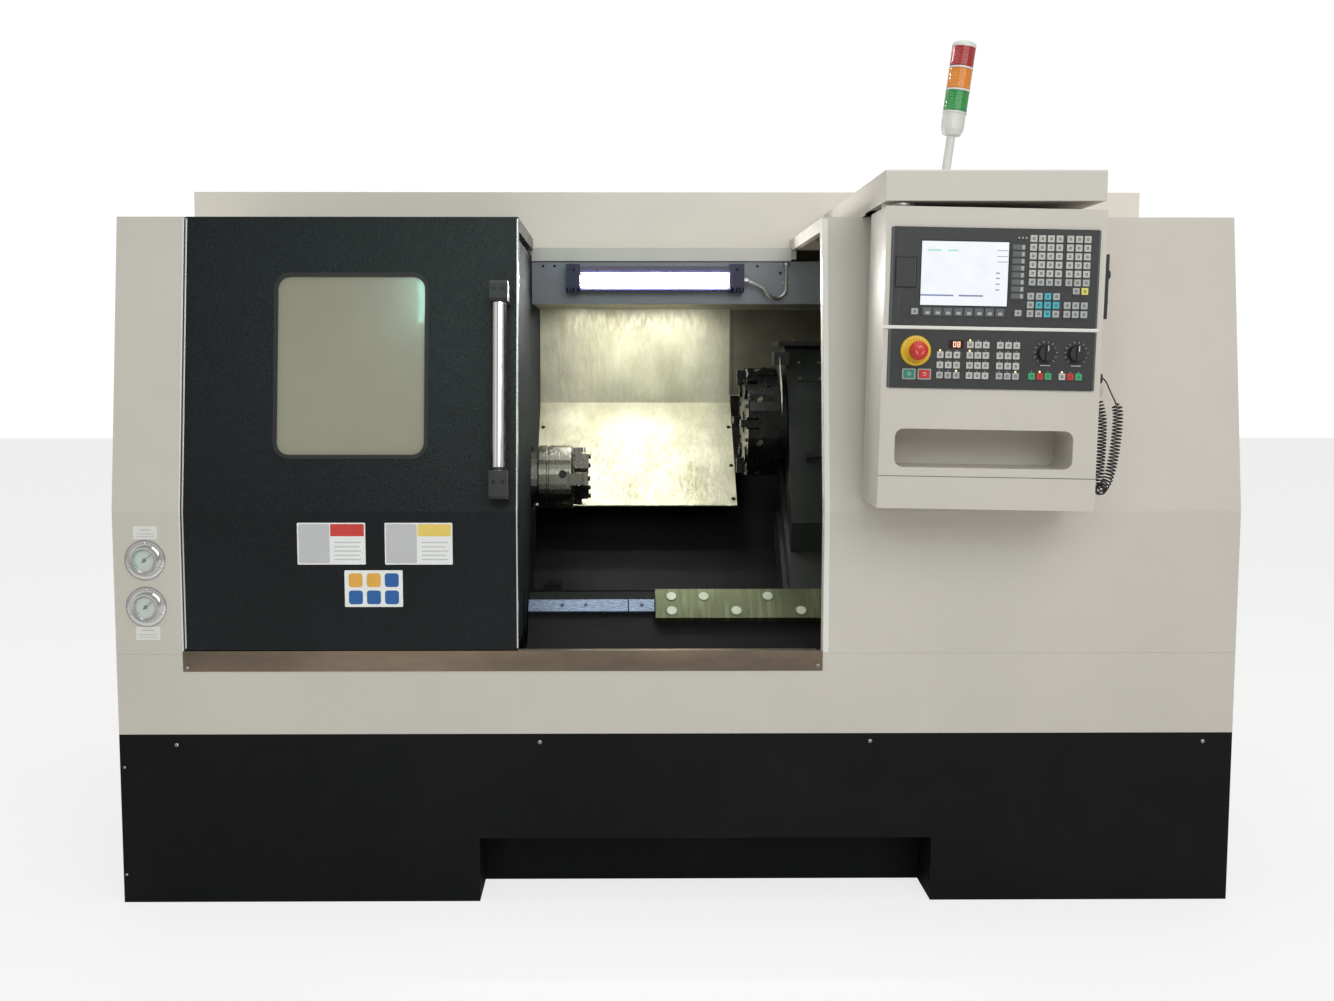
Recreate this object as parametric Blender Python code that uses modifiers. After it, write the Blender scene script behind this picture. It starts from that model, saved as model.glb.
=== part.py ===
import math

import bmesh
import bpy
from mathutils import Matrix, Vector

# CNC turning lathe with a slant bed. Metres, +Z up, the operator stands on the -Y side.
# Y counts from the front face (FRONT_Y); the origin lies on the floor under the middle of the machine.

GAP = 0.0003  # seating gap between separate pieces

# Enclosure
WIDTH = 2.5
DEPTH = 1.36  # front face to the rear cover
BASE_TOP = 0.387
SEAM = 0.569  # between the lower band and the covers above it
KINK = 0.888  # above this height the front leans back
TOP = 1.54
LEAN = 0.094  # how far the top edge of the front lies behind the kink
ROOF_FRONT = 0.69
ROOF_TOP = 1.665
SKIN = 0.003
RIM = 0.013  # width of the folded edge round a cover
RIM_DEPTH = 0.03
COLUMN_WIDTH = 0.15
OPENING_RIGHT = 0.324
TOE_LEFT = -0.446
TOE_RIGHT = 0.575
TOE_HEIGHT = 0.146
TOE_DEPTH = 0.14
FOOT_PAD = 0.12
PAD_THICK = 0.01
TANK_LEFT = -0.80
TANK_RIGHT = -0.15
TANK_TOP = 0.25
TANK_FRONT = DEPTH - 0.18

# Door
DOOR_LEFT = -WIDTH / 2 + COLUMN_WIDTH + 0.0035
DOOR_RIGHT = -0.3555
DOOR_BOTTOM = 0.578
DOOR_SKIN = 0.03
DOOR_BACK = 0.655  # rear end of the flat top
WINDOW_LEFT = -0.891
WINDOW_RIGHT = -0.560
WINDOW_LOW = 1.010
WINDOW_HIGH = 1.409
WINDOW_CORNER = 0.03
GLASS = 0.010
HANDLE_X = -0.393
HANDLE_LOW = 0.975
HANDLE_HIGH = 1.345
HANDLE_RADIUS = 0.0155
HANDLE_STAND = 0.05  # tube axis to the door face
BRACKET_WIDTH = 0.04
BRACKET_UP = 0.045
BRACKET_LOW = 0.062
RAIL_LOW = 1.4826
RAIL_HIGH = 1.517
RAIL_THICK = 0.034
COVER_INSET = 0.045  # headstock cover behind the door face

# Spindle line
BED_OFFSET = -0.11  # height of the slant face where it would meet the front plane
BED_LEFT = -WIDTH / 2 + 0.19
BED_RIGHT = WIDTH / 2 - 0.15
BED_BACK = DEPTH - 0.22
BED_HIGH = BED_BACK + 2 * BED_OFFSET
SPINDLE_Y = 0.635
SPINDLE_Z = 0.915
CHUCK_RADIUS = 0.084
CHUCK_LEFT = -0.342
CHUCK_RIGHT = -0.251
JAW_LENGTH = 0.040
JAW_WIDTH = 0.030
JAW_IN = 0.018
JAW_OUT = 0.079
JAW_STROKE = 0.0028
NOSE_RADIUS = 0.070
SPINDLE_RADIUS = 0.045
SPINDLE_BORE = 0.024
SPINDLE_LEFT = BED_LEFT + 0.04
PULLEY_RADIUS = 0.085
PULLEY_WIDTH = 0.055
PULLEY_X = BED_LEFT + 0.07
BELT = 0.006
MOTOR_PULLEY_RADIUS = 0.06
MOTOR_Y = 0.36
MOTOR_Z = 0.215
MOTOR_RADIUS = 0.095
MOTOR_LENGTH = 0.32
MOTOR_SEAT = 0.09
HEAD_LEFT = BED_LEFT + 0.16
HEAD_RIGHT = -0.415

# Slant bed, 45 degrees. A slope plane is Z = Y + offset
WAY_HEIGHT = 0.022
SADDLE_TOP = 0.075
SLIDE_THICK = 0.05
BED_FRONT = 0.28
BED_FLOOR = 0.06
RISER_LOW = 0.51
RISER_HIGH = 0.643
RISER_BACK = 0.413
PLATE_LEFT = -0.04
PLATE_RIGHT = BED_RIGHT - 0.18
PLATE_THICK = 0.018
PLUG_RADIUS = 0.0145
PLUG_PITCH = 0.080
PLUG_ROWS = 11
SHEET_OFFSET = 0.056
SHEET_LOW_Y = 0.77
SHEET_KNEE_Y = 1.045
SHEET_RIGHT = 0.195
SHEET_TOP = 1.372
SADDLE_NEAR = 0.443
SADDLE_FAR = 0.735
SCREW_LEFT = -0.335
SCREW_RIGHT = BED_RIGHT - 0.04

# Turret
SADDLE_LEFT = 0.30
SADDLE_WIDTH = 0.40
DISC_Y = 0.775
DISC_Z = 1.056
DISC_RADIUS = 0.150
DISC_LEFT = 0.212
DISC_WIDTH = 0.085
STATIONS = 8
SCREW_RADIUS = 0.016

# Pendant; the box hangs a little askew from its pivot
PENDANT_FRONT = -0.19
PENDANT_BACK = -0.006
PENDANT_TILT = math.radians(1.05)
PIVOT_X = 0.452
PIVOT_Y = -0.125
HOOD_LEFT = 0.414
HOOD_RIGHT = 0.866
HOOD_LOW = 1.5445
HOOD_HIGH = 1.607
BOX_LEFT = 0.4175
BOX_WIDTH = 0.453
BOX_TOP = 1.534
BOX_BOTTOM = 0.981
SHELF_BOTTOM = 0.914
TRAY_WIDTH = 0.371
TRAY_HEIGHT = 0.080
TRAY_LOW = 1.000
TRAY_DEPTH = 0.13
TRAY_CORNER = 0.018
PANEL_WIDTH = 0.420
DISPLAY_HEIGHT = 0.200
CONTROL_HEIGHT = 0.120
DISPLAY_LOW = 1.2925
CONTROL_LOW = 1.164
PANEL_LEFT_MARGIN = 0.0155
PANEL_PROUD = 0.004
KEY_PROUD = 0.0015
KEY = 0.0136
PITCH = 0.0178
BUTTON_HALF = 0.0105
BUTTON_TALL = 0.0080
ESTOP_U = 0.052  # from the control panel's lower left corner
ESTOP_V = 0.0764
ESTOP_PROUD = 0.045
COLLAR_RADIUS = 0.031
PIVOT_RADIUS = 0.038
SIDE_Y = -0.163
SIDE_KNOB_Z = 1.4045
SIDE_KEY_Z = 1.347
GLAND_LENGTH = 0.012
CORD_Y = -0.160
CORD_BACK = -0.119
CORD_HIGH = 1.190
CORD_LOW = 1.152
CORD_RADIUS = 0.0095

# Work lamp and gauges
LAMP_END = 0.037
LAMP_TUBE = 0.014
GAUGE_X = -WIDTH / 2 + 0.071
GAUGE_HIGH = 0.781
GAUGE_LOW = 0.6765
GAUGE_FLANGE = 0.0445
JAW_ANGLE = 270

# Signal tower, leaning to the right
TOWER_X = 0.586
TOWER_Y = 0.05
TOWER_LEAN = math.radians(7.4)
TOWER_POLE = 0.155
TOWER_RADIUS = 0.0255
LENS_HEIGHT = 0.048

# Rear cabinet
CABINET_LEFT = 0.05
CABINET_RIGHT = WIDTH / 2 - 0.2
CABINET_LOW = 0.62
CABINET_HIGH = 1.48
CABINET_DEPTH = 0.20
CABINET_DOOR = 0.022

REAR = DEPTH + CABINET_DEPTH + CABINET_DOOR + GAP
FRONT_Y = -(REAR + PENDANT_FRONT - PANEL_PROUD - ESTOP_PROUD) / 2
HALF = WIDTH / 2
PANEL_LEFT = BOX_LEFT + PANEL_LEFT_MARGIN
BOX_RIGHT = BOX_LEFT + BOX_WIDTH
FACE = PENDANT_FRONT - PANEL_PROUD
SLOPE = LEAN / (TOP - KINK)
WAY_TOP = BED_OFFSET + WAY_HEIGHT * math.sqrt(2)

for old in list(bpy.data.objects):
    bpy.data.objects.remove(old, do_unlink=True)

parts = bpy.data.collections.new("cnc_turning_lathe")
cutters = bpy.data.collections.new("cutters")
bpy.context.scene.collection.children.link(parts)
bpy.context.scene.collection.children.link(cutters)


def material(name, color, roughness, metallic=0.0, alpha=1.0):
    made = bpy.data.materials.new(name)
    made.use_nodes = True
    shader = made.node_tree.nodes["Principled BSDF"]
    shader.inputs["Base Color"].default_value = (*color, 1.0)
    shader.inputs["Roughness"].default_value = roughness
    shader.inputs["Metallic"].default_value = metallic
    shader.inputs["Alpha"].default_value = alpha
    made.diffuse_color = (*color, alpha)
    return made


cream = material("cream_paint", (0.72, 0.71, 0.67), 0.45)
charcoal = material("charcoal_paint", (0.028, 0.031, 0.036), 0.5)
steel = material("brushed_steel", (0.55, 0.54, 0.52), 0.35, 1.0)
chrome = material("chrome", (0.8, 0.8, 0.8), 0.1, 1.0)
casting = material("casting", (0.12, 0.13, 0.14), 0.6, 0.3)
blackened = material("blackened_steel", (0.03, 0.03, 0.03), 0.4, 0.6)
black = material("black_plastic", (0.02, 0.02, 0.022), 0.5)
grey = material("panel_grey", (0.08, 0.09, 0.1), 0.5)
glass = material("window_glass", (0.6, 0.6, 0.52), 0.1, 0.0, 0.35)
diffuser = material("lamp_diffuser", (0.95, 0.97, 1.0), 0.3)
blue = material("dark_blue", (0.02, 0.03, 0.10), 0.4)
red = material("signal_red", (0.7, 0.03, 0.02), 0.3)
amber = material("signal_amber", (0.9, 0.4, 0.02), 0.3)
green = material("signal_green", (0.03, 0.5, 0.12), 0.3)
ivory = material("dial_ivory", (0.85, 0.85, 0.8), 0.5)


def link(obj, paint, smooth=False):
    parts.objects.link(obj)
    obj.data.materials.clear()
    obj.data.materials.append(paint)
    if smooth:
        obj.data.shade_smooth()
        obj.data.set_sharp_from_angle(angle=math.radians(35))
    return obj


def as_cutter(obj):
    cutters.objects.link(obj)
    obj.hide_render = True
    obj.display_type = "WIRE"
    return obj


def mesh_from(name, bm, weld=0.00001):
    bmesh.ops.remove_doubles(bm, verts=bm.verts, dist=weld)
    bmesh.ops.recalc_face_normals(bm, faces=bm.faces)
    mesh = bpy.data.meshes.new(name)
    bm.to_mesh(mesh)
    bm.free()
    return mesh


def block(name, low, high):
    """A box between two corners, as an unlinked object."""
    bm = bmesh.new()
    bmesh.ops.create_cube(bm, size=1.0)
    size = Vector(high) - Vector(low)
    middle = (Vector(high) + Vector(low)) / 2
    bmesh.ops.scale(bm, vec=size, verts=bm.verts)
    bmesh.ops.translate(bm, vec=middle, verts=bm.verts)
    return bpy.data.objects.new(name, mesh_from(name, bm))


AXES = {
    "X": Matrix(((0, 0, 1), (1, 0, 0), (0, 1, 0))).to_4x4(),
    "Y": Matrix(((1, 0, 0), (0, 0, -1), (0, 1, 0))).to_4x4(),
    "Z": Matrix.Identity(4),
}


def rod(name, axis, centre, radius, low, high, sides=24, top_radius=None):
    """A round bar along an axis; centre holds the two coordinates across that axis, in XYZ order."""
    bm = bmesh.new()
    length = high - low
    bmesh.ops.create_cone(bm, cap_ends=True, segments=sides, radius1=radius,
                          radius2=radius if top_radius is None else top_radius, depth=length)
    turn = {"X": Matrix.Rotation(math.pi / 2, 4, "Y"), "Y": Matrix.Rotation(-math.pi / 2, 4, "X"),
            "Z": Matrix.Identity(4)}[axis]
    middle = (low + high) / 2
    place = {"X": (middle, centre[0], centre[1]), "Y": (centre[0], middle, centre[1]),
             "Z": (centre[0], centre[1], middle)}[axis]
    bmesh.ops.transform(bm, matrix=Matrix.Translation(place) @ turn, verts=bm.verts)
    return bpy.data.objects.new(name, mesh_from(name, bm))


def outline(name, axis, points, low, high):
    """A flat outline extruded along an axis. Points are (Y, Z) for X, (X, Z) for Y and (X, Y) for Z."""
    curve = bpy.data.curves.new(name, "CURVE")
    curve.dimensions = "2D"
    curve.fill_mode = "BOTH"
    curve.extrude = (high - low) / 2
    spline = curve.splines.new("POLY")
    spline.points.add(len(points) - 1)
    for point, (a, b) in zip(spline.points, points):
        point.co = (a, b, 0, 1)
    spline.use_cyclic_u = True
    guide = bpy.data.objects.new(name, curve)
    cutters.objects.link(guide)
    bpy.context.view_layer.update()
    graph = bpy.context.evaluated_depsgraph_get()
    mesh = bpy.data.meshes.new_from_object(guide.evaluated_get(graph))
    bpy.data.objects.remove(guide, do_unlink=True)
    middle = (low + high) / 2
    shift = {"X": (middle, 0, 0), "Y": (0, middle, 0), "Z": (0, 0, middle)}[axis]
    bm = bmesh.new()
    bm.from_mesh(mesh)
    bmesh.ops.transform(bm, matrix=Matrix.Translation(shift) @ AXES[axis], verts=bm.verts)
    bpy.data.meshes.remove(mesh)
    return bpy.data.objects.new(name, mesh_from(name, bm))


def rounded(left, low, right, high, radius, steps=5):
    """A rectangle with round corners as a list of points."""
    corners = ((right - radius, high - radius, 0), (left + radius, high - radius, 90),
               (left + radius, low + radius, 180), (right - radius, low + radius, 270))
    return [(x + radius * math.cos(math.radians(start + 90 * i / steps)),
             z + radius * math.sin(math.radians(start + 90 * i / steps)))
            for x, z, start in corners for i in range(steps + 1)]


def shape(obj, joins=(), cuts=()):
    """Join and cut the given unlinked objects, and put the finished mesh on the object."""
    parts.objects.link(obj)
    for kind, others in (("UNION", joins), ("DIFFERENCE", cuts)):
        for other in others:
            if other.name not in cutters.objects:
                as_cutter(other)
            step = obj.modifiers.new(f"{kind.lower()} {other.name}", "BOOLEAN")
            step.operation = kind
            step.object = other
            step.solver = "EXACT"
    bpy.context.view_layer.update()
    graph = bpy.context.evaluated_depsgraph_get()
    mesh = bpy.data.meshes.new_from_object(obj.evaluated_get(graph))
    obj.modifiers.clear()
    obj.data = mesh
    for other in list(joins) + list(cuts):
        bpy.data.objects.remove(other, do_unlink=True)
    parts.objects.unlink(obj)
    return obj


def turned(name, profile, steps=32):
    """A turned shape about Z from (radius, height) points that run top to bottom on the outer side."""
    mesh = bpy.data.meshes.new(name)
    mesh.from_pydata([(r, 0, z) for r, z in profile], [(i, i + 1) for i in range(len(profile) - 1)], [])
    obj = bpy.data.objects.new(name, mesh)
    screw = obj.modifiers.new("turn", "SCREW")
    screw.steps = steps
    screw.render_steps = steps
    screw.use_merge_vertices = True
    screw.merge_threshold = 0.00001
    return shape(obj)


def moved(obj, matrix):
    obj.data.transform(matrix)
    return obj


def front_y(z):
    """Depth of the leaning front face at a height."""
    return max(0.0, (z - KINK) * SLOPE)


def empty(name, place, parent=None, turn=(0, 0, 0)):
    made = bpy.data.objects.new(name, None)
    made.location = place
    made.rotation_euler = turn
    made.parent = parent
    parts.objects.link(made)
    return made


machine = empty("machine", (0, FRONT_Y, 0))


def carry(obj, holder=machine, origin=None):
    """Parent a piece whose mesh is in machine coordinates, with its origin on its joint."""
    if origin is not None:
        obj.data.transform(Matrix.Translation(-Vector(origin)))
        obj.location = origin
    obj.parent = holder
    return obj


def section(inset=0.0, low=SEAM, drop=0.0):
    """The outline of an end cover from the side, set in by a wall."""
    return [(inset, low - drop), (inset, KINK), (LEAN + inset, TOP - inset),
            (ROOF_FRONT - inset, TOP - inset), (ROOF_FRONT - inset, RAIL_HIGH - inset + GAP),
            (DEPTH - inset, RAIL_HIGH - inset + GAP), (DEPTH - inset, low - drop)]


def ring(name, low, high, paint, cuts=(), joins=()):
    """A sheet wall all round the machine between two heights, with a folded rim at its top."""
    obj = block(name, (-HALF, 0, low), (HALF, DEPTH, high))
    hollow = block(name + " hollow", (-HALF + SKIN, SKIN, low - RIM), (HALF - SKIN, DEPTH - SKIN, high - RIM))
    mouth = block(name + " mouth", (-HALF + RIM_DEPTH, RIM_DEPTH, high - 2 * RIM),
                  (HALF - RIM_DEPTH, DEPTH - RIM_DEPTH, high + RIM))
    return carry(link(shape(obj, joins, [hollow, mouth, *cuts]), paint))


def make_stand():
    pocket = block("toe pocket", (TOE_LEFT - SKIN, 0, -RIM),
                   (TOE_RIGHT + SKIN, TOE_DEPTH + SKIN, TOE_HEIGHT + SKIN))
    hollow = block("base hollow", (-HALF + SKIN, SKIN, -RIM), (HALF - SKIN, DEPTH - SKIN, BASE_TOP - RIM))
    hollow = shape(hollow, cuts=[pocket])
    mouth = block("base mouth", (-HALF + RIM_DEPTH, RIM_DEPTH, BASE_TOP - 2 * RIM),
                  (HALF - RIM_DEPTH, DEPTH - RIM_DEPTH, BASE_TOP + RIM))
    recess = block("toe recess", (TOE_LEFT, -RIM, -RIM), (TOE_RIGHT, TOE_DEPTH, TOE_HEIGHT))
    service = block("service opening", (TANK_LEFT - RIM, DEPTH - 2 * SKIN, -RIM),
                    (TANK_RIGHT + RIM, DEPTH + RIM, TANK_TOP + RIM))
    base = block("base_stand", (-HALF, 0, 0), (HALF, DEPTH, BASE_TOP - GAP))
    base = shape(base, cuts=[hollow, mouth, recess, service])
    pads = [block(f"pad {x} {y}", (x, y, 0), (x + FOOT_PAD, y + FOOT_PAD, PAD_THICK))
            for x in (-HALF, HALF - FOOT_PAD) for y in (0, DEPTH - FOOT_PAD)]
    carry(link(shape(base, joins=pads), charcoal))


def end_cover(name, left, right, open_right, cuts=()):
    """A side wall with front, top and rear panels, open towards the work zone."""
    deeper = 4 * RIM
    main_low = left + (SKIN if open_right else RIM)
    main_high = right - (RIM if open_right else SKIN)
    rim_low = right - 2 * RIM if open_right else left - RIM
    rim_high = right + RIM if open_right else left + 2 * RIM
    cover = outline(name, "X", section(low=SEAM + GAP), left, right)
    hollow = outline(name + " hollow", "X", section(SKIN, SEAM, deeper), main_low, main_high)
    rim = outline(name + " rim", "X", section(RIM_DEPTH, SEAM, deeper), rim_low, rim_high)
    return carry(link(shape(cover, cuts=[hollow, rim, *cuts]), cream))


def make_roof():
    roof = block("roof_cover", (-HALF, ROOF_FRONT + GAP, RAIL_HIGH + 2 * GAP), (HALF, DEPTH, ROOF_TOP))
    hollow = block("roof hollow", (-HALF + SKIN, ROOF_FRONT + SKIN + GAP, RAIL_HIGH - RIM),
                   (HALF - SKIN, DEPTH - SKIN, ROOF_TOP - SKIN))
    carry(link(shape(roof, cuts=[hollow]), cream))


def make_rear():
    left = -HALF + COLUMN_WIDTH + GAP
    right = OPENING_RIGHT - GAP
    pan = block("rear_cover", (left, DEPTH - RIM_DEPTH, SEAM + GAP), (right, DEPTH, RAIL_HIGH))
    hollow = block("rear hollow", (left + RIM, DEPTH - 2 * RIM_DEPTH, SEAM + RIM),
                   (right - RIM, DEPTH - SKIN, RAIL_HIGH - RIM))
    carry(link(shape(pan, cuts=[hollow]), cream))


def make_sill():
    left = -HALF + COLUMN_WIDTH - 0.002
    strip = block("sill_strip", (left, -0.0015 - GAP, 0.530), (OPENING_RIGHT, -GAP, SEAM + 0.007))
    lip = block("sill lip", (left + 0.003, -0.001 - GAP, SEAM + 0.0052),
                (OPENING_RIGHT - RIM, 0.02, SEAM + 0.007))
    screws = [rod(f"sill screw {x}", "Y", (x, 0.549), 0.005, -0.0035, -0.001, 8)
              for x in (left + 0.011, OPENING_RIGHT - 0.012)]
    carry(link(shape(strip, joins=[lip, *screws]), steel))


def make_rail():
    left = -HALF + COLUMN_WIDTH + GAP
    rail = block("door_rail", (left, DOOR_BACK, RAIL_LOW),
                 (OPENING_RIGHT - GAP, DOOR_BACK + RAIL_THICK, RAIL_HIGH))
    for groove in (0.008, 0.020):
        cut = block(f"groove {groove}", (left - 1, DOOR_BACK + groove, RAIL_HIGH - 0.006),
                    (OPENING_RIGHT + 1, DOOR_BACK + groove + 0.004, RAIL_HIGH + 1))
        rail = shape(rail, cuts=[cut])
    carry(link(rail, steel))


def make_headstock_cover():
    """Fixed cover behind the open door: front, top and the wall that the spindle nose comes through."""
    left = -HALF + COLUMN_WIDTH + GAP
    right = DOOR_RIGHT - 0.004
    inset = COVER_INSET
    low = SEAM + 0.0075
    face = [(inset, low), (inset, KINK), (inset + LEAN, TOP - inset), (DOOR_BACK - GAP * 2, TOP - inset),
            (DOOR_BACK - GAP * 2, RAIL_LOW - GAP), (BED_BACK - 0.1, RAIL_LOW - GAP),
            (BED_BACK - 0.1, BED_HIGH + 0.03), (0.86, slope_z(0.86, SHEET_OFFSET) - 0.09), (0.46, 0.48),
            (0.30, RISER_HIGH - 0.08), (BED_FRONT - 0.01, RISER_HIGH + 0.05), (0.2, low)]
    wall = SKIN
    sheet = outline("headstock_cover", "X", face, left, right)
    inner = [(inset + wall, low - 1), (inset + wall, KINK), (inset + LEAN + wall, TOP - inset - wall),
             (DEPTH, TOP - inset - wall), (DEPTH, low - 1)]
    hollow = outline("headstock hollow", "X", inner, left - 1, right - wall)
    hole = rod("spindle hole", "X", (SPINDLE_Y, SPINDLE_Z), NOSE_RADIUS + 0.012, right - 1, right + 1, 32)
    carry(link(shape(sheet, cuts=[hollow, hole]), cream))


def make_door():
    """The door is one folded sheet: a leaning front, a flat top and edges turned in."""
    back = DOOR_SKIN
    outer = [(0, DOOR_BOTTOM), (0, KINK), (LEAN, TOP), (DOOR_BACK, TOP), (DOOR_BACK, TOP - back),
             (LEAN + back, TOP - back), (back, KINK), (back, DOOR_BOTTOM)]
    door = outline("door_panel", "X", outer, DOOR_LEFT, DOOR_RIGHT)
    inner = [(SKIN, DOOR_BOTTOM + RIM), (SKIN, KINK), (front_y(TOP - SKIN) + SKIN, TOP - SKIN),
             (DOOR_BACK - RIM, TOP - SKIN),
             (DOOR_BACK - RIM, TOP - 1), (RIM_DEPTH * 3, TOP - 1), (RIM_DEPTH * 3, DOOR_BOTTOM + RIM)]
    hollow = outline("door hollow", "X", inner, DOOR_LEFT + RIM, DOOR_RIGHT - RIM)
    window = rounded(WINDOW_LEFT, WINDOW_LOW, WINDOW_RIGHT, WINDOW_HIGH, WINDOW_CORNER)
    hole = outline("window hole", "Y", window, -1, 1)
    shoes = [block(f"shoe {x}", (x, DOOR_BACK - RIM, RAIL_HIGH + GAP), (x + 0.09, DOOR_BACK + 0.007, TOP - 0.01))
             for x in (DOOR_LEFT + 0.03, DOOR_RIGHT - 0.12)]
    shoes += [block(f"shoe foot {x}", (x + 0.001, DOOR_BACK - 0.001, RAIL_HIGH + GAP),
                    (x + 0.089, DOOR_BACK + 0.03, TOP - 0.011))
              for x in (DOOR_LEFT + 0.03, DOOR_RIGHT - 0.12)]
    carry(link(shape(door, joins=shoes, cuts=[hollow, hole]), charcoal))
    lean = Matrix.Translation((0, 0, KINK)) @ Matrix.Rotation(-math.atan(SLOPE), 4, "X") \
        @ Matrix.Translation((0, 0, -KINK))
    stretch = math.hypot(LEAN, TOP - KINK) / (TOP - KINK)
    low = KINK + (WINDOW_LOW - KINK) * stretch - 0.012
    high = KINK + (WINDOW_HIGH - KINK) * stretch + 0.012
    pane = outline("door_glass", "Y", rounded(WINDOW_LEFT - 0.012, low, WINDOW_RIGHT + 0.012, high,
                                              WINDOW_CORNER + 0.01), SKIN + GAP, SKIN + GAP + GLASS)
    carry(link(moved(pane, lean), glass))
    return lean


def make_handle(lean):
    tube = rod("door_handle_tube", "Z", (HANDLE_X, -HANDLE_STAND), HANDLE_RADIUS, HANDLE_LOW, HANDLE_HIGH, 24)
    carry(link(moved(tube, lean), chrome, True))
    for name, low, high in (("handle_bracket_upper", HANDLE_HIGH + GAP, HANDLE_HIGH + BRACKET_UP),
                            ("handle_bracket_lower", HANDLE_LOW - BRACKET_LOW, HANDLE_LOW - GAP)):
        half = BRACKET_WIDTH / 2
        arm = outline(name, "X", [(-GAP, low), (-GAP, high), (-HANDLE_STAND - 0.018, high),
                                  (-HANDLE_STAND - 0.022, high - 0.006), (-HANDLE_STAND - 0.022, low + 0.006),
                                  (-HANDLE_STAND - 0.018, low)], HANDLE_X - half, HANDLE_X + half)
        carry(link(moved(arm, lean), black))


def slope_z(y, offset):
    return y + offset


def screw_centre():
    y = (SADDLE_NEAR + SADDLE_FAR) / 2 + 0.045
    return y, slope_z(y, WAY_TOP) + 0.032


def screw_supports():
    """Bearing bracket at the headstock end, and the flange and servo motor at the other end."""
    y, z = screw_centre()
    sunk = BED_OFFSET - 0.01
    joins = []
    for name, low, high in (("bearing bracket", SCREW_LEFT + 0.01, SCREW_LEFT + 0.05),
                            ("servo flange", SCREW_RIGHT - 0.025, SCREW_RIGHT + 0.010)):
        joins.append(outline(name, "X", [(y + 0.05, z + 0.045), (y - 0.045, z + 0.045), (y - 0.05, z - 0.02),
                                         (y - 0.045, slope_z(y - 0.045, sunk)), (y + 0.07, slope_z(y + 0.07, sunk)),
                                         (y + 0.07, z + 0.03)], low, high))
    joins.append(block("servo motor", (SCREW_RIGHT + 0.005, y - 0.045, z - 0.045),
                       (SCREW_RIGHT + 0.115, y + 0.045, z + 0.045)))
    holes = [rod("screw seat", "X", (y, z), SCREW_RADIUS + 0.0004, SCREW_LEFT - GAP, SCREW_RIGHT + GAP, 24)]
    return joins, holes


def make_bed():
    """The slant bed casting: a 45 degree face with two box ways, and a riser with its own way in front."""
    face = [(BED_FRONT, BED_FLOOR), (BED_FRONT, RISER_LOW), (RISER_BACK, RISER_HIGH),
            (RISER_BACK, slope_z(RISER_BACK, BED_OFFSET)), (BED_HIGH - BED_OFFSET, BED_HIGH),
            (BED_BACK, BED_HIGH), (BED_BACK, BED_FLOOR)]
    bed = outline("bed_casting", "X", face, BED_LEFT, BED_RIGHT)
    riser_cut = outline("riser end", "X", [(0, RISER_LOW - 0.2), (RISER_BACK + GAP, RISER_LOW - 0.2),
                                           (RISER_BACK + GAP, 1), (0, 1)], BED_LEFT - 1, DOOR_RIGHT)
    ways = []
    for y in (RISER_BACK + 0.075, RISER_BACK + 0.285):
        low = slope_z(y, BED_OFFSET)
        lift = WAY_HEIGHT * math.sqrt(2) / 2
        width = 0.045
        ways.append(outline(f"way {y:.3f}", "X", [(y, low - 0.02), (y - lift, low + lift),
                                                  (y - lift + width, low + lift + width),
                                                  (y + width, low + width - 0.02)],
                            HEAD_RIGHT + 0.003, BED_RIGHT))
    belt_bay = block("belt bay", (BED_LEFT - 1, 0, BED_FLOOR + 0.04),
                     (HEAD_LEFT - 0.02, 0.60, 1))
    motor_bay = block("motor bay", (BED_LEFT - 1, 0, MOTOR_SEAT),
                      (PULLEY_X + PULLEY_WIDTH + MOTOR_LENGTH + 0.05, MOTOR_Y + MOTOR_RADIUS + 0.03,
                       MOTOR_Z + MOTOR_RADIUS + 0.05))
    ribs = [block(f"bed window {x}", (x, BED_FRONT + 0.18, BED_FLOOR - 0.1), (x + 0.36, BED_BACK + 1, 0.30))
            for x in (-0.36, 0.10, 0.56)]
    feet = [rod(f"foot {x} {y}", "Z", (x, y), 0.05, 0.0, BED_FLOOR + 0.02, 16)
            for x in (-0.44, 0.05, 1.02) for y in (BED_FRONT + 0.08, BED_BACK - 0.07)]
    feet.append(rod("foot rear left", "Z", (-0.98, BED_BACK - 0.07), 0.05, 0.0, BED_FLOOR + 0.02, 16))
    bed = shape(bed, joins=[*ways, *feet], cuts=[riser_cut, belt_bay, motor_bay, *ribs])
    supports, seats = screw_supports()
    carry(link(shape(bed, joins=supports, cuts=seats), casting))


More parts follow.
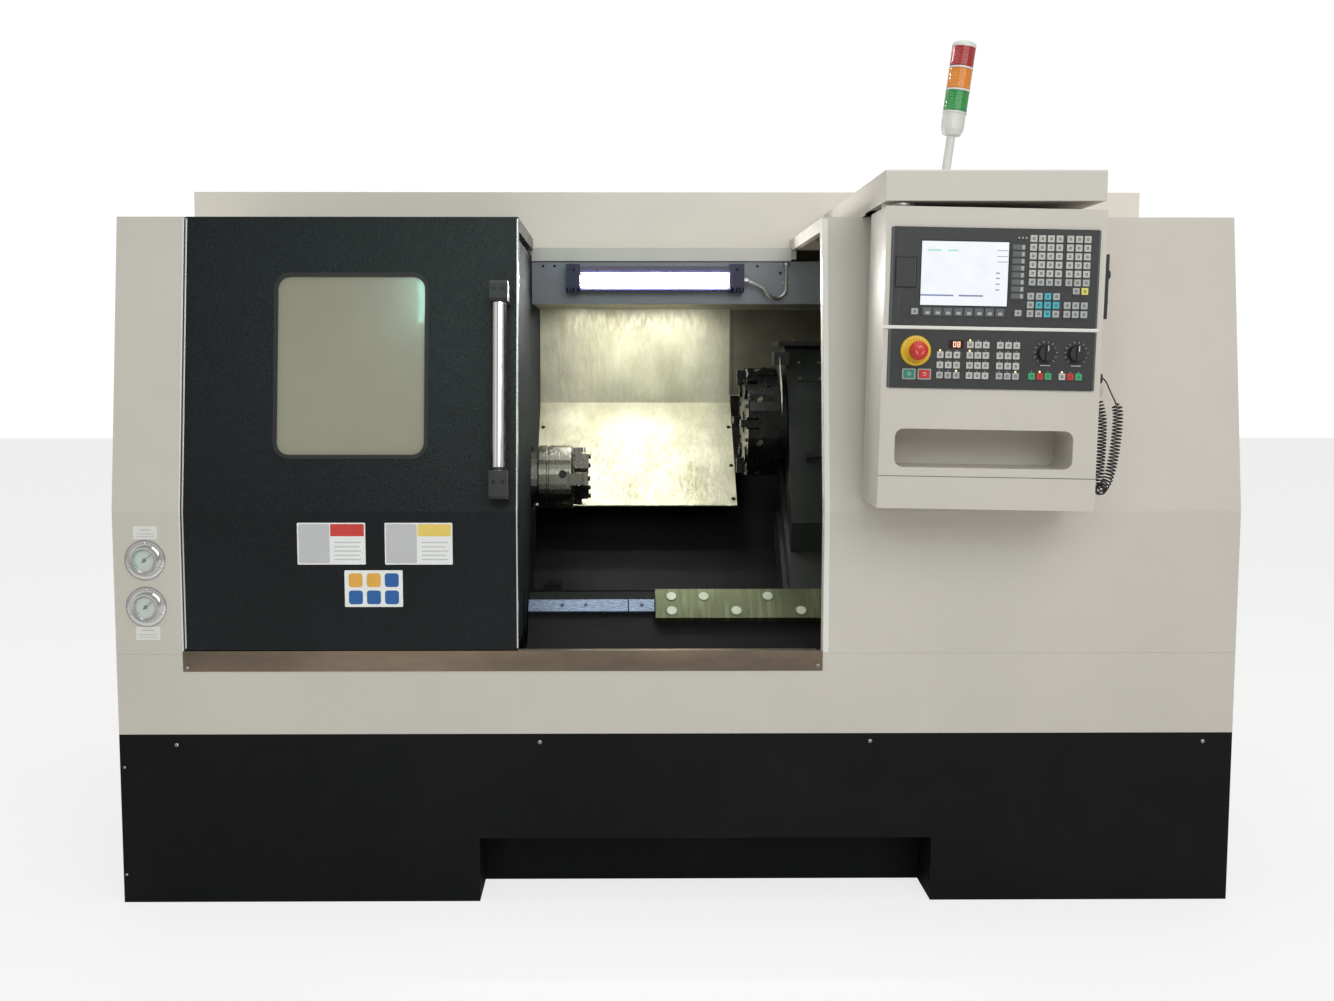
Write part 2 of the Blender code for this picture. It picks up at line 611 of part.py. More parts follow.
def make_way_plate():
    slope = math.sqrt(2) / 2
    top = RISER_HIGH - 0.004
    low = RISER_BACK - 0.004 - 0.062
    offset = RISER_HIGH - RISER_BACK
    lift = PLATE_THICK * slope
    seat = GAP * slope * 2
    a = (low - seat, low + offset + seat)
    b = (RISER_BACK - 0.004 - seat, top + seat)
    plate = outline("way_plate", "X", [a, (a[0] - lift, a[1] + lift), (b[0] - lift, b[1] + lift), b],
                    PLATE_LEFT, PLATE_RIGHT)
    middle = Vector(((PLATE_LEFT + PLATE_RIGHT) / 2, (a[0] + b[0]) / 2 - lift, (a[1] + b[1]) / 2 + lift))
    turn = Matrix.Rotation(math.radians(45), 4, "X")
    plugs = []
    places = [(0, 1), (0, -1)] + [(i, 1 if i % 2 else -1) for i in range(1, PLUG_ROWS)]
    for i, side in places:
        x = PLATE_LEFT + 0.04 + i * PLUG_PITCH
        centre = Vector((x, middle.y + side * 0.0155, middle.z + side * 0.0155))
        plug = rod(f"plug {i} {side}", "Z", (0, 0), PLUG_RADIUS, -0.004, 0.0008, 12)
        plugs.append(moved(plug, Matrix.Translation(centre) @ turn))
    carry(link(shape(plate, joins=plugs), steel))


def make_back_wall():
    """Folded stainless sheet: the slanted lower leaf and the upright above it."""
    wall = SKIN
    knee = SHEET_KNEE_Y + SHEET_OFFSET
    low = (SHEET_LOW_Y, SHEET_LOW_Y + SHEET_OFFSET)
    face = [low, (SHEET_KNEE_Y, knee), (SHEET_KNEE_Y, SHEET_TOP), (SHEET_KNEE_Y - 0.38, SHEET_TOP),
            (SHEET_KNEE_Y - 0.38, SHEET_TOP + wall), (SHEET_KNEE_Y + wall, SHEET_TOP + wall),
            (SHEET_KNEE_Y + wall, knee - wall), (low[0] + wall, low[1] - wall)]
    sheet = outline("back_wall_sheet", "X", face, DOOR_RIGHT - 0.004 + GAP, SHEET_RIGHT)
    wall_right = BED_RIGHT - 0.05
    panel = block("upper wall right", (SHEET_RIGHT - 0.01, SHEET_KNEE_Y, knee + 0.02),
                  (wall_right, SHEET_KNEE_Y + wall, SHEET_TOP + wall))
    lid = block("upper lid right", (SHEET_RIGHT - 0.01, SHEET_KNEE_Y - 0.38, SHEET_TOP),
                (wall_right, SHEET_KNEE_Y + wall, SHEET_TOP + wall))
    front = block("lamp wall", (DOOR_RIGHT - 0.004 + GAP, SHEET_KNEE_Y - 0.38, SHEET_TOP),
                  (wall_right, SHEET_KNEE_Y - 0.38 + wall, RAIL_LOW - GAP * 2))
    carry(link(shape(sheet, joins=[panel, lid, front]), steel))


def make_lamp():
    face_y = SHEET_KNEE_Y - 0.38 - GAP
    left, right, low, high = -0.232, 0.160, 1.405, 1.468
    housing = outline("lamp_housing", "X", [(face_y, low), (face_y, high), (face_y - 0.035, high),
                                            (face_y - 0.05, high - 0.012), (face_y - 0.05, high - 0.018),
                                            (face_y - 0.03, high - 0.018), (face_y - 0.03, low + 0.004),
                                            (face_y - 0.045, low + 0.004), (face_y - 0.045, low)], left, right)
    end = [(face_y, low - 0.006), (face_y, high + 0.004), (face_y - 0.058, high + 0.004),
           (face_y - 0.058, low + 0.006), (face_y - 0.046, low - 0.006)]
    ends = [outline(f"lamp end {x}", "X", end, x, x + LAMP_END) for x in (left - LAMP_END + 0.001, right - 0.001)]
    carry(link(shape(housing, joins=ends), blue))
    tube = rod("lamp_tube", "X", (face_y - 0.030 - LAMP_TUBE - GAP, (low + high) / 2 - 0.006), LAMP_TUBE,
               left + 0.001 + GAP, right - 0.001 - GAP, 20)
    carry(link(tube, diffuser, True))
    start = Vector((right + LAMP_END + GAP, face_y - 0.03, 1.430))
    route = [start, start + Vector((0.02, 0, -0.004)), start + Vector((0.05, 0.004, -0.018)),
             Vector((0.262, face_y - 0.03, 1.392)), Vector((0.288, face_y - 0.02, 1.385)),
             Vector((0.308, face_y - 0.012, 1.400)), Vector((0.311, face_y - 0.008, 1.43)),
             Vector((0.311, face_y - 0.006, RAIL_LOW - 0.004))]
    curve = bpy.data.curves.new("lamp_conduit", "CURVE")
    curve.dimensions = "3D"
    curve.bevel_depth = 0.005
    curve.bevel_resolution = 2
    curve.use_fill_caps = True
    points = smooth(route, 3)
    spline = curve.splines.new("POLY")
    spline.points.add(len(points) - 1)
    for point, place in zip(spline.points, points):
        point.co = (*place, 1)
    carry(link(bpy.data.objects.new("lamp_conduit", curve), steel))


def smooth(route, steps):
    """Points on a smooth curve through the route."""
    ends = [route[0] * 2 - route[1], *route, route[-1] * 2 - route[-2]]
    points = []
    for a, b, c, d in zip(ends, ends[1:], ends[2:], ends[3:]):
        for i in range(steps):
            t = i / steps
            points.append(0.5 * ((2 * b) + (c - a) * t + (2 * a - 5 * b + 4 * c - d) * t * t
                                 + (3 * b - a - 3 * c + d) * t ** 3))
    return [*points, route[-1]]


def make_chute():
    wall = SKIN
    low = (BED_FRONT - GAP, 0.42)
    front = RIM_DEPTH + GAP
    face = [(front + wall, SEAM + 0.004), (front + wall, 0.53), low, (low[0], 0.36), (low[0] - wall, 0.36),
            (low[0] - wall, low[1] - wall), (front, 0.53 - wall), (front, SEAM + 0.004)]
    carry(link(outline("chip_chute", "X", face, DOOR_RIGHT, BED_RIGHT), steel))


def make_headstock():
    """Cartridge housing on a webbed foot that stands on the slanted face."""
    radius = 0.125
    ring_points = [(SPINDLE_Y + radius * math.cos(math.radians(a)), SPINDLE_Z + radius * math.sin(math.radians(a)))
                   for a in range(-45, 136, 15)]
    seat = GAP * math.sqrt(2)
    foot_low = 0.46
    foot_high = 0.80
    face = [*ring_points, (foot_low - 0.02, 0.80), (foot_low, slope_z(foot_low, BED_OFFSET + seat)),
            (foot_high, slope_z(foot_high, BED_OFFSET + seat)), (foot_high, 0.74)]
    head = outline("headstock_casting", "X", face, HEAD_LEFT, HEAD_RIGHT)
    bore = rod("spindle bore", "X", (SPINDLE_Y, SPINDLE_Z), SPINDLE_RADIUS + GAP, HEAD_LEFT - 1,
               HEAD_RIGHT + 1, 32)
    grooves = [block(f"rib gap {i}", (HEAD_LEFT + 0.05 + i * 0.105, SPINDLE_Y - radius - 0.3, SPINDLE_Z - 0.06),
                     (HEAD_LEFT + 0.05 + i * 0.105 + 0.07, SPINDLE_Y - radius + 0.02, SPINDLE_Z + 0.04))
               for i in range(4)]
    carry(link(shape(head, cuts=[bore, *grooves]), casting))


def make_spindle():
    x = CHUCK_LEFT - GAP
    flange = x - 0.028
    pulley_left = PULLEY_X
    pulley_right = PULLEY_X + PULLEY_WIDTH
    profile = [(SPINDLE_BORE, x), (NOSE_RADIUS, x), (NOSE_RADIUS, flange), (SPINDLE_RADIUS, flange),
               (SPINDLE_RADIUS, pulley_right + 0.004), (PULLEY_RADIUS + 0.008, pulley_right + 0.004),
               (PULLEY_RADIUS + 0.008, pulley_right), (PULLEY_RADIUS, pulley_right), (PULLEY_RADIUS, pulley_left),
               (PULLEY_RADIUS + 0.008, pulley_left), (PULLEY_RADIUS + 0.008, pulley_left - 0.004),
               (0.062, pulley_left - 0.004), (0.062, SPINDLE_LEFT - 0.055), (SPINDLE_BORE, SPINDLE_LEFT - 0.055),
               (SPINDLE_BORE, x)]
    shaft = turned("spindle_shaft", profile, 24)
    moved(shaft, Matrix.Translation((0, SPINDLE_Y, SPINDLE_Z)) @ Matrix.Rotation(math.pi / 2, 4, "Y"))
    carry(link(shaft, steel, True), origin=(x, SPINDLE_Y, SPINDLE_Z))


def make_chuck():
    """Power chuck body with three radial T slots, a stepped rim and a clear bore, and its three jaws."""
    axis = Matrix.Translation((0, SPINDLE_Y, SPINDLE_Z)) @ Matrix.Rotation(math.pi / 2, 4, "Y")
    r = CHUCK_RADIUS
    profile = [(SPINDLE_BORE, CHUCK_RIGHT), (r - 0.004, CHUCK_RIGHT), (r, CHUCK_RIGHT - 0.004),
               (r, CHUCK_LEFT + 0.030), (r - 0.002, CHUCK_LEFT + 0.028), (r - 0.002, CHUCK_LEFT + 0.024),
               (r, CHUCK_LEFT + 0.022), (r, CHUCK_LEFT + 0.003), (r - 0.003, CHUCK_LEFT),
               (SPINDLE_BORE, CHUCK_LEFT), (SPINDLE_BORE, CHUCK_RIGHT)]
    body = turned("chuck_body", profile, 40)
    slots = []
    half = JAW_WIDTH / 2 + GAP
    deep = 0.016
    foot = half + 0.006
    for i in range(3):
        turn = Matrix.Rotation(math.radians(120 * i + JAW_ANGLE), 4, "Z")
        slot = outline(f"slot {i}", "X", [(-half, CHUCK_RIGHT + 1), (-half, CHUCK_RIGHT - deep / 2),
                                          (-foot, CHUCK_RIGHT - deep / 2), (-foot, CHUCK_RIGHT - deep),
                                          (foot, CHUCK_RIGHT - deep), (foot, CHUCK_RIGHT - deep / 2),
                                          (half, CHUCK_RIGHT - deep / 2), (half, CHUCK_RIGHT + 1)],
                       JAW_IN - JAW_STROKE - 0.002, r + 1)
        slots.append(moved(slot, turn))
    body = shape(body, cuts=slots)
    carry(link(moved(body, axis), chrome, True), origin=(CHUCK_RIGHT, SPINDLE_Y, SPINDLE_Z))
    for i in range(3):
        turn = Matrix.Rotation(math.radians(120 * i + JAW_ANGLE), 4, "Z")
        w = JAW_WIDTH / 2
        base = CHUCK_RIGHT - deep + GAP
        f = foot - GAP
        neck = CHUCK_RIGHT - deep / 2 - GAP
        master = outline(f"chuck_jaw_{i + 1}", "X", [(-f, base), (-f, neck), (-w, neck),
                                                     (-w, CHUCK_RIGHT + 0.012), (w, CHUCK_RIGHT + 0.012),
                                                     (w, neck), (f, neck), (f, base)],
                         JAW_IN, JAW_OUT)
        inner = JAW_IN + 0.0005
        top = outline(f"top jaw {i}", "Y", [(inner, CHUCK_RIGHT + 0.006), (JAW_OUT + 0.001, CHUCK_RIGHT + 0.006),
                                            (JAW_OUT + 0.001, CHUCK_RIGHT + 0.022),
                                            (JAW_OUT - 0.017, CHUCK_RIGHT + 0.022),
                                            (JAW_OUT - 0.019, CHUCK_RIGHT + JAW_LENGTH),
                                            (inner, CHUCK_RIGHT + JAW_LENGTH)], -w + 0.0005, w - 0.0005)
        bolt = rod(f"jaw bolt hole {i}", "Z", (JAW_OUT - 0.009, 0), 0.006, CHUCK_RIGHT + 0.014,
                   CHUCK_RIGHT + 1, 12)
        jaw = shape(master, joins=[top], cuts=[bolt])
        carry(link(moved(jaw, axis @ turn), steel), origin=(CHUCK_RIGHT, SPINDLE_Y, SPINDLE_Z))


def make_drive():
    """Motor, its pulley and the belt up to the spindle pulley."""
    motor_left = PULLEY_X + PULLEY_WIDTH + 0.02
    motor = rod("spindle_motor", "X", (MOTOR_Y, MOTOR_Z), MOTOR_RADIUS, motor_left,
                motor_left + MOTOR_LENGTH, 32)
    box = block("terminal box", (motor_left + 0.1, MOTOR_Y - MOTOR_RADIUS - 0.03, MOTOR_Z - 0.05),
                (motor_left + 0.22, MOTOR_Y - 0.05, MOTOR_Z + 0.05))
    foot = block("motor foot", (motor_left + 0.02, BED_FRONT + 0.005, MOTOR_SEAT + GAP),
                 (motor_left + MOTOR_LENGTH - 0.02, MOTOR_Y + 0.09, MOTOR_Z - MOTOR_RADIUS + 0.03))
    carry(link(shape(motor, joins=[box, foot]), casting, True))
    left = PULLEY_X
    right = PULLEY_X + PULLEY_WIDTH
    r = MOTOR_PULLEY_RADIUS
    profile = [(0.002, right + 0.019), (0.019, right + 0.019), (0.019, right + 0.004), (r + 0.007, right + 0.004),
               (r + 0.007, right), (r, right), (r, left), (r + 0.007, left), (r + 0.007, left - 0.004),
               (0.002, left - 0.004), (0.002, right + 0.019)]
    pulley = turned("motor_pulley", profile, 24)
    moved(pulley, Matrix.Translation((0, MOTOR_Y, MOTOR_Z)) @ Matrix.Rotation(math.pi / 2, 4, "Y"))
    carry(link(pulley, steel, True), origin=(left, MOTOR_Y, MOTOR_Z))
    run = Vector((SPINDLE_Y - MOTOR_Y, SPINDLE_Z - MOTOR_Z))
    heading = math.atan2(run.y, run.x)
    spread = math.acos((PULLEY_RADIUS - r) / run.length)

    def loop(extra):
        points = []
        for (cy, cz), radius, start, end in (((SPINDLE_Y, SPINDLE_Z), PULLEY_RADIUS, -spread, spread),
                                             ((MOTOR_Y, MOTOR_Z), r, spread, 2 * math.pi - spread)):
            count = 16
            for k in range(count + 1):
                a = heading + start + (end - start) * k / count
                points.append((cy + (radius + extra) * math.cos(a), cz + (radius + extra) * math.sin(a)))
        return points

    belt = outline("drive_belt", "X", loop(BELT + GAP), left + GAP * 2, right - GAP * 2)
    inside = outline("belt inside", "X", loop(GAP * 2), left - 1, right + 1)
    carry(link(shape(belt, cuts=[inside]), black))


SLANT = Matrix.Rotation(math.radians(45), 4, "X")


def saddle_frame():
    """Local axes on the saddle's slide plane: X along the bed, Y up the slope, Z away from it."""
    y = 0.60
    return Matrix.Translation((0, y, slope_z(y, SADDLE_TOP))) @ SLANT


def make_saddle():
    low_off = WAY_TOP + GAP * math.sqrt(2)
    near, far = SADDLE_NEAR, SADDLE_FAR
    face = [(near + 0.02, slope_z(near + 0.02, low_off)), (near, slope_z(near, SADDLE_TOP) - 0.03),
            (near, slope_z(near, SADDLE_TOP)), (far, slope_z(far, SADDLE_TOP)),
            (far + 0.06, slope_z(far, SADDLE_TOP) - 0.06), (far + 0.055, slope_z(far + 0.055, low_off))]
    right = SADDLE_LEFT + SADDLE_WIDTH
    saddle = outline("saddle", "X", face, SADDLE_LEFT, right)
    screw_y, screw_z = screw_centre()
    bore = rod("nut bore", "X", (screw_y, screw_z), SCREW_RADIUS + 0.0004, SADDLE_LEFT - 1, right + 1, 24)
    guides = []
    for side in (-1, 1):
        middle = (SADDLE_LEFT + right) / 2 + side * 0.12
        guide = block(f"guide {side}", (middle - 0.025, -0.20, -0.02), (middle + 0.025, 0.17, 0.016))
        guides.append(moved(guide, saddle_frame()))
    carry(link(shape(saddle, joins=guides, cuts=[bore]), casting), origin=((SADDLE_LEFT + right) / 2, near, 0.6))
    screw = rod("ball_screw", "X", (screw_y, screw_z), SCREW_RADIUS, SCREW_LEFT, SCREW_RIGHT, 16)
    carry(link(screw, steel, True), origin=(SCREW_LEFT, screw_y, screw_z))


def make_cross_slide():
    right = SADDLE_LEFT + SADDLE_WIDTH
    middle = (SADDLE_LEFT + right) / 2
    slide = block("cross_slide", (SADDLE_LEFT + 0.01, -0.13, 0.0), (right - 0.01, 0.36, SLIDE_THICK))
    cuts = []
    for side in (-1, 1):
        x = middle + side * 0.12
        cuts.append(block(f"slide groove {side}", (x - 0.0254, -1, -1), (x + 0.0254, 1, 0.0164)))
    slide = shape(slide, cuts=cuts)
    lifted = saddle_frame() @ Matrix.Translation((0, 0, GAP))
    carry(link(moved(slide, lifted), casting), origin=(middle, DISC_Y, DISC_Z))


def make_turret():
    top = SADDLE_TOP + SLIDE_THICK * math.sqrt(2) + GAP * 3
    left = DISC_LEFT + DISC_WIDTH + GAP
    y, z = DISC_Y, DISC_Z
    lid_low = z + 0.206
    foot_front, foot_back = y - 0.200, y + 0.085
    face = [(foot_front, slope_z(foot_front, top)), (foot_back, slope_z(foot_back, top)),
            (y + 0.125, slope_z(foot_back, top) + 0.055), (y + 0.155, z + 0.134), (y + 0.125, lid_low),
            (y, lid_low), (y - 0.035, lid_low - 0.012), (y - 0.120, z + 0.074), (y - 0.175, z - 0.126),
            (y - 0.215, z - 0.256)]
    housing = outline("turret_housing", "X", face, left + 0.022, left + 0.36)
    collar = rod("turret collar", "X", (y, z), 0.10, left, left + 0.03, 32)
    lid = block("turret lid", (left + 0.004, y - 0.03, lid_low), (left + 0.372, y + 0.15, lid_low + 0.013))
    cap_turn = Matrix.Translation((left + 0.13, y - 0.163, z - 0.076)) @ Matrix.Rotation(math.radians(74), 4, "X")
    cap = moved(rod("housing cap", "Z", (0, 0), 0.034, -0.01, 0.014, 20), cap_turn)
    plate_turn = Matrix.Translation((left + 0.083, y - 0.075, z + 0.137)) @ Matrix.Rotation(math.radians(55), 4, "X")
    plate = moved(block("housing plate", (-0.034, -0.033, -0.02), (0.034, 0.033, 0.003)), plate_turn)
    fin = block("guard fin", (left - 0.012, y - 0.075, z + DISC_RADIUS + 0.004),
                (left + 0.03, y - 0.015, z + 0.189))
    carry(link(shape(housing, joins=[collar, lid, cap, plate, fin]), casting))
    right, rim = DISC_LEFT + DISC_WIDTH, 0.004
    disc = turned("turret_disc", [(0.002, DISC_LEFT), (0.002, right), (DISC_RADIUS - rim, right),
                                  (DISC_RADIUS, right - rim), (DISC_RADIUS, DISC_LEFT + rim),
                                  (DISC_RADIUS - rim, DISC_LEFT), (0.002, DISC_LEFT)], 48)
    flats, blocks = [], []
    for i in range(STATIONS):
        turn = Matrix.Rotation(2 * math.pi * i / STATIONS, 4, "Z")
        flat = block(f"station {i}", (-0.035, DISC_RADIUS - 0.007, DISC_LEFT - 1),
                     (0.035, DISC_RADIUS + 1, DISC_LEFT + 1))
        flats.append(moved(flat, turn))
        slot = block(f"tool slot {i}", (-0.016, DISC_RADIUS - 0.055, DISC_LEFT - 0.9),
                     (0.016, DISC_RADIUS + 0.9, DISC_LEFT + 0.028))
        flats.append(moved(slot, turn))
        if i % 2 == 0:
            wedge = block(f"tool {i}", (-0.010, DISC_RADIUS - 0.050, DISC_LEFT - 0.020),
                          (0.010, DISC_RADIUS - 0.010, DISC_LEFT + 0.031))
        else:
            wedge = block(f"wedge {i}", (-0.012, DISC_RADIUS - 0.050, DISC_LEFT - 0.006),
                          (0.009, DISC_RADIUS - 0.012, DISC_LEFT + 0.030))
        blocks.append(moved(wedge, turn))
    disc = shape(disc, cuts=flats)
    disc = shape(disc, joins=blocks)
    place = Matrix.Translation((0, DISC_Y, DISC_Z)) @ Matrix.Rotation(math.pi / 2, 4, "Y")
    carry(link(moved(disc, place), blackened), origin=(DISC_LEFT, DISC_Y, DISC_Z))


def make_telescopic_cover():
    """Stepped leaves on the saddle in front of the cross slide."""
    right = SADDLE_LEFT + SADDLE_WIDTH
    steps = ((-0.240, -0.215, 0.012), (-0.216, -0.190, 0.022), (-0.191, -0.165, 0.032), (-0.166, -0.155, 0.040))
    leaves = [block(f"leaf {i}", (SADDLE_LEFT - 0.012 + 0.004 * i, low, 0.0002), (right - 0.02, high, top))
              for i, (low, high, top) in enumerate(steps)]
    cover = shape(leaves[0], joins=leaves[1:])
    skirt = block("leaf skirt", (SADDLE_LEFT - 0.012, -0.240, -0.02), (SADDLE_LEFT - GAP * 2, -0.16, 0.01))
    cover = shape(cover, joins=[skirt])
    cover.name = "telescopic_cover"
    lifted = saddle_frame() @ Matrix.Translation((0, 0, GAP))
    grooves = []
    for side in (-1, 1):
        x = (SADDLE_LEFT + right) / 2 + side * 0.12
        groove = block(f"cover groove {side}", (x - 0.0254, -0.201, -1), (x + 0.0254, 1, 0.0164))
        grooves.append(moved(groove, lifted))
    carry(link(shape(moved(cover, lifted), cuts=grooves), casting))


def make_cabinet():
    back = DEPTH + CABINET_DEPTH
    box = block("electrical_cabinet", (CABINET_LEFT, DEPTH + GAP, CABINET_LOW),
                (CABINET_RIGHT, back, CABINET_HIGH))
    hollow = block("cabinet hollow", (CABINET_LEFT + SKIN, DEPTH + SKIN + GAP, CABINET_LOW + SKIN),
                   (CABINET_RIGHT - SKIN, back - RIM, CABINET_HIGH - SKIN))
    mouth = block("cabinet mouth", (CABINET_LEFT + 2 * RIM, back - 2 * RIM, CABINET_LOW + 2 * RIM),
                  (CABINET_RIGHT - 2 * RIM, back + 1, CABINET_HIGH - 2 * RIM))
    carry(link(shape(box, cuts=[hollow, mouth]), cream))
    low = back + GAP
    door = block("cabinet_door", (CABINET_LEFT, low, CABINET_LOW),
                 (CABINET_RIGHT, low + CABINET_DOOR, CABINET_HIGH))
    inside = block("cabinet door inside", (CABINET_LEFT + RIM, low - 1, CABINET_LOW + RIM),
                   (CABINET_RIGHT - RIM, low + CABINET_DOOR - SKIN, CABINET_HIGH - RIM))
    louvres = [block(f"louvre {i}", (CABINET_LEFT + 0.30, low, CABINET_LOW + 0.10 + i * 0.028),
                     (CABINET_RIGHT - 0.30, low + 1, CABINET_LOW + 0.108 + i * 0.028)) for i in range(7)]
    hinge = (CABINET_RIGHT, low + CABINET_DOOR, CABINET_LOW)
    carry(link(shape(door, cuts=[inside, *louvres]), cream), origin=hinge)


def make_tank():
    tank = block("coolant_tank", (TANK_LEFT, TANK_FRONT, PAD_THICK), (TANK_RIGHT, DEPTH + 0.04, TANK_TOP - 0.03))
    hollow = block("tank hollow", (TANK_LEFT + SKIN, TANK_FRONT + SKIN, PAD_THICK + SKIN),
                   (TANK_RIGHT - SKIN, DEPTH + 0.04 - SKIN, TANK_TOP - 0.03 - SKIN))
    hatch = block("tank hatch", (TANK_LEFT + 0.36, TANK_FRONT + 0.03, 0.1), (TANK_RIGHT - 0.04, DEPTH - 0.03, 1))
    wheels = [rod(f"tank foot {x} {y}", "Z", (x, y), 0.025, 0, PAD_THICK + 0.002, 12)
              for x in (TANK_LEFT + 0.05, TANK_RIGHT - 0.05) for y in (TANK_FRONT + 0.05, DEPTH - 0.02)]
    pump_place = (TANK_LEFT + 0.15, TANK_FRONT + 0.085)
    pump = rod("pump", "Z", pump_place, 0.055, TANK_TOP - 0.035, TANK_TOP + 0.125, 20)
    flange = rod("pump flange", "Z", pump_place, 0.08, TANK_TOP - 0.035, TANK_TOP - 0.02, 20)
    end_plate = block("tank end plate", (TANK_LEFT - 2 * RIM, DEPTH + GAP, PAD_THICK + SKIN),
                      (TANK_RIGHT + 2 * RIM, DEPTH + GAP + SKIN, TANK_TOP - 0.03 - SKIN))
    tank = shape(tank, joins=[*wheels, end_plate], cuts=[hollow, hatch])
    carry(link(shape(tank, joins=[pump, flange]), charcoal))


def make_gauges():
    for name, z in (("upper", GAUGE_HIGH), ("lower", GAUGE_LOW)):
        face = rod(f"gauge_case_{name}", "Y", (GAUGE_X, z), GAUGE_FLANGE, -0.0035, -GAP, 32)
        bezel = rod("gauge bezel", "Y", (GAUGE_X, z), 0.030, -0.017, -0.002, 32)
        bowl = rod("gauge bowl", "Y", (GAUGE_X, z), 0.0255, -1, -0.006, 32)
        back = rod("gauge back", "Y", (GAUGE_X, z), 0.026, -0.002, 0.035, 24)
        hole = rod("needle hole", "Y", (GAUGE_X, z), 0.0022, -1, 0.004, 12)
        carry(link(shape(face, joins=[bezel, back], cuts=[bowl, hole]), chrome, True))
        pin = rod(f"gauge_needle_{name}", "Y", (GAUGE_X, z), 0.0018, -0.0095, 0.001, 10)
        hub = rod("needle hub", "Y", (GAUGE_X, z), 0.004, -0.0095, -0.0075, 12)
        blade = outline("needle blade", "Y",
                        [(-0.0012, -0.007), (0.0012, -0.007), (0.0004, 0.020), (-0.0004, 0.020)],
                        -0.009, -0.008)
        turn = Matrix.Translation((GAUGE_X, 0, z)) @ Matrix.Rotation(math.radians(50), 4, "Y")
        carry(link(shape(pin, joins=[hub, moved(blade, turn)]), black), origin=(GAUGE_X, -0.006, z))


pendant = empty("pendant_pivot", (PIVOT_X, PIVOT_Y, HOOD_LOW), machine, (0, PENDANT_TILT, 0))


def hang(obj, paint, origin=None, smooth_shaded=False):
    """Parent a piece to the pendant's pivot; its mesh is in the coordinates of the pendant hanging straight."""
    link(obj, paint, smooth_shaded)
    base = Vector((PIVOT_X, PIVOT_Y, HOOD_LOW))
    own = Vector(origin) if origin is not None else base
    obj.data.transform(Matrix.Translation(-own))
    obj.location = own - base
    obj.parent = pendant
    return obj


def many_blocks(name, boxes):
    bm = bmesh.new()
    for low, high in boxes:
        made = bmesh.ops.create_cube(bm, size=1.0)["verts"]
        bmesh.ops.scale(bm, vec=Vector(high) - Vector(low), verts=made)
        bmesh.ops.translate(bm, vec=(Vector(high) + Vector(low)) / 2, verts=made)
    mesh = bpy.data.meshes.new(name)
    bm.to_mesh(mesh)
    bm.free()
    return bpy.data.objects.new(name, mesh)


def keys(name, low_z, places):
    """Raised key caps at (u, v, width, height) from the panel's lower left corner."""
    boxes = []
    for u, v, width, height in places:
        boxes.append(((PANEL_LEFT + u - width / 2, FACE - KEY_PROUD, low_z + v - height / 2),
                      (PANEL_LEFT + u + width / 2, FACE + 0.001, low_z + v + height / 2)))
    return many_blocks(name, boxes)


def display_keys():
    places = [(0.2898 + PITCH * c, 0.0877 + 0.0176 * r, KEY, KEY) for c in range(4) for r in range(6)]
    places += [(0.3652 + 0.018 * c, 0.0877 + 0.0176 * r, KEY, KEY) for c in range(3) for r in range(6)]
    places += [(0.2555, 0.0585 + 0.0142 * r, 0.024, 0.0105) for r in range(8)]
    places += [(0.0681 + 0.0217 * c, 0.0268, 0.0167, 0.0125) for c in range(8)]
    places += [(0.042, 0.0245, KEY, KEY), (0.2565, 0.0235, KEY, KEY), (0.3775, 0.0706, KEY, 0.0125),
               (0.3956, 0.0706, KEY, 0.0125)]
    places += [(0.2825 + 0.0176 * c, 0.0235 + 0.0177 * r, KEY, KEY) for c in range(4) for r in range(3)]
    places += [(0.3585 + 0.0174 * c, 0.0235 + 0.0177 * r, KEY, KEY) for c in range(3) for r in range(2)]
    return places


def control_keys():
    rows = (0.0265, 0.0486, 0.0691, 0.0901)
    places = [(0.1045 + 0.0175 * c, rows[r], KEY, KEY) for c in range(3) for r in range(3)]
    places += [(0.167 + 0.0178 * c, rows[r], KEY, KEY) for c in range(3) for r in range(4)]
    places += [(0.2297 + 0.0175 * c, rows[r], KEY, KEY) for c in range(3) for r in range(4)]
    places += [(start + 0.0176 * c, 0.027, KEY, KEY) for start in (0.2956, 0.3587) for c in range(3)]
    return places


def make_hood():
    front = PENDANT_FRONT - 0.003
    hood = outline("pendant_hood", "X", [(front, HOOD_LOW), (front, HOOD_HIGH - 0.004), (front + 0.004, HOOD_HIGH),
                                         (ROOF_FRONT - GAP, HOOD_HIGH), (ROOF_FRONT - GAP, TOP + GAP),
                                         (LEAN - 0.03, TOP + GAP), (LEAN - 0.03, HOOD_LOW)], HOOD_LEFT, HOOD_RIGHT)
    hollow = block("hood hollow", (HOOD_LEFT + SKIN, front + SKIN, TOP - 1),
                   (HOOD_RIGHT - SKIN, ROOF_FRONT - SKIN, HOOD_HIGH - SKIN))
    floor = block("hood floor", (HOOD_LEFT, front, HOOD_LOW), (HOOD_RIGHT, 0.0, HOOD_LOW + SKIN))
    lug = block("hood lug", (HOOD_LEFT, PIVOT_Y - 0.03, HOOD_LOW),
                (HOOD_LEFT + 0.09, PIVOT_Y + 0.03, HOOD_LOW + SKIN))
    carry(link(shape(shape(hood, cuts=[hollow]), joins=[floor, lug]), cream))


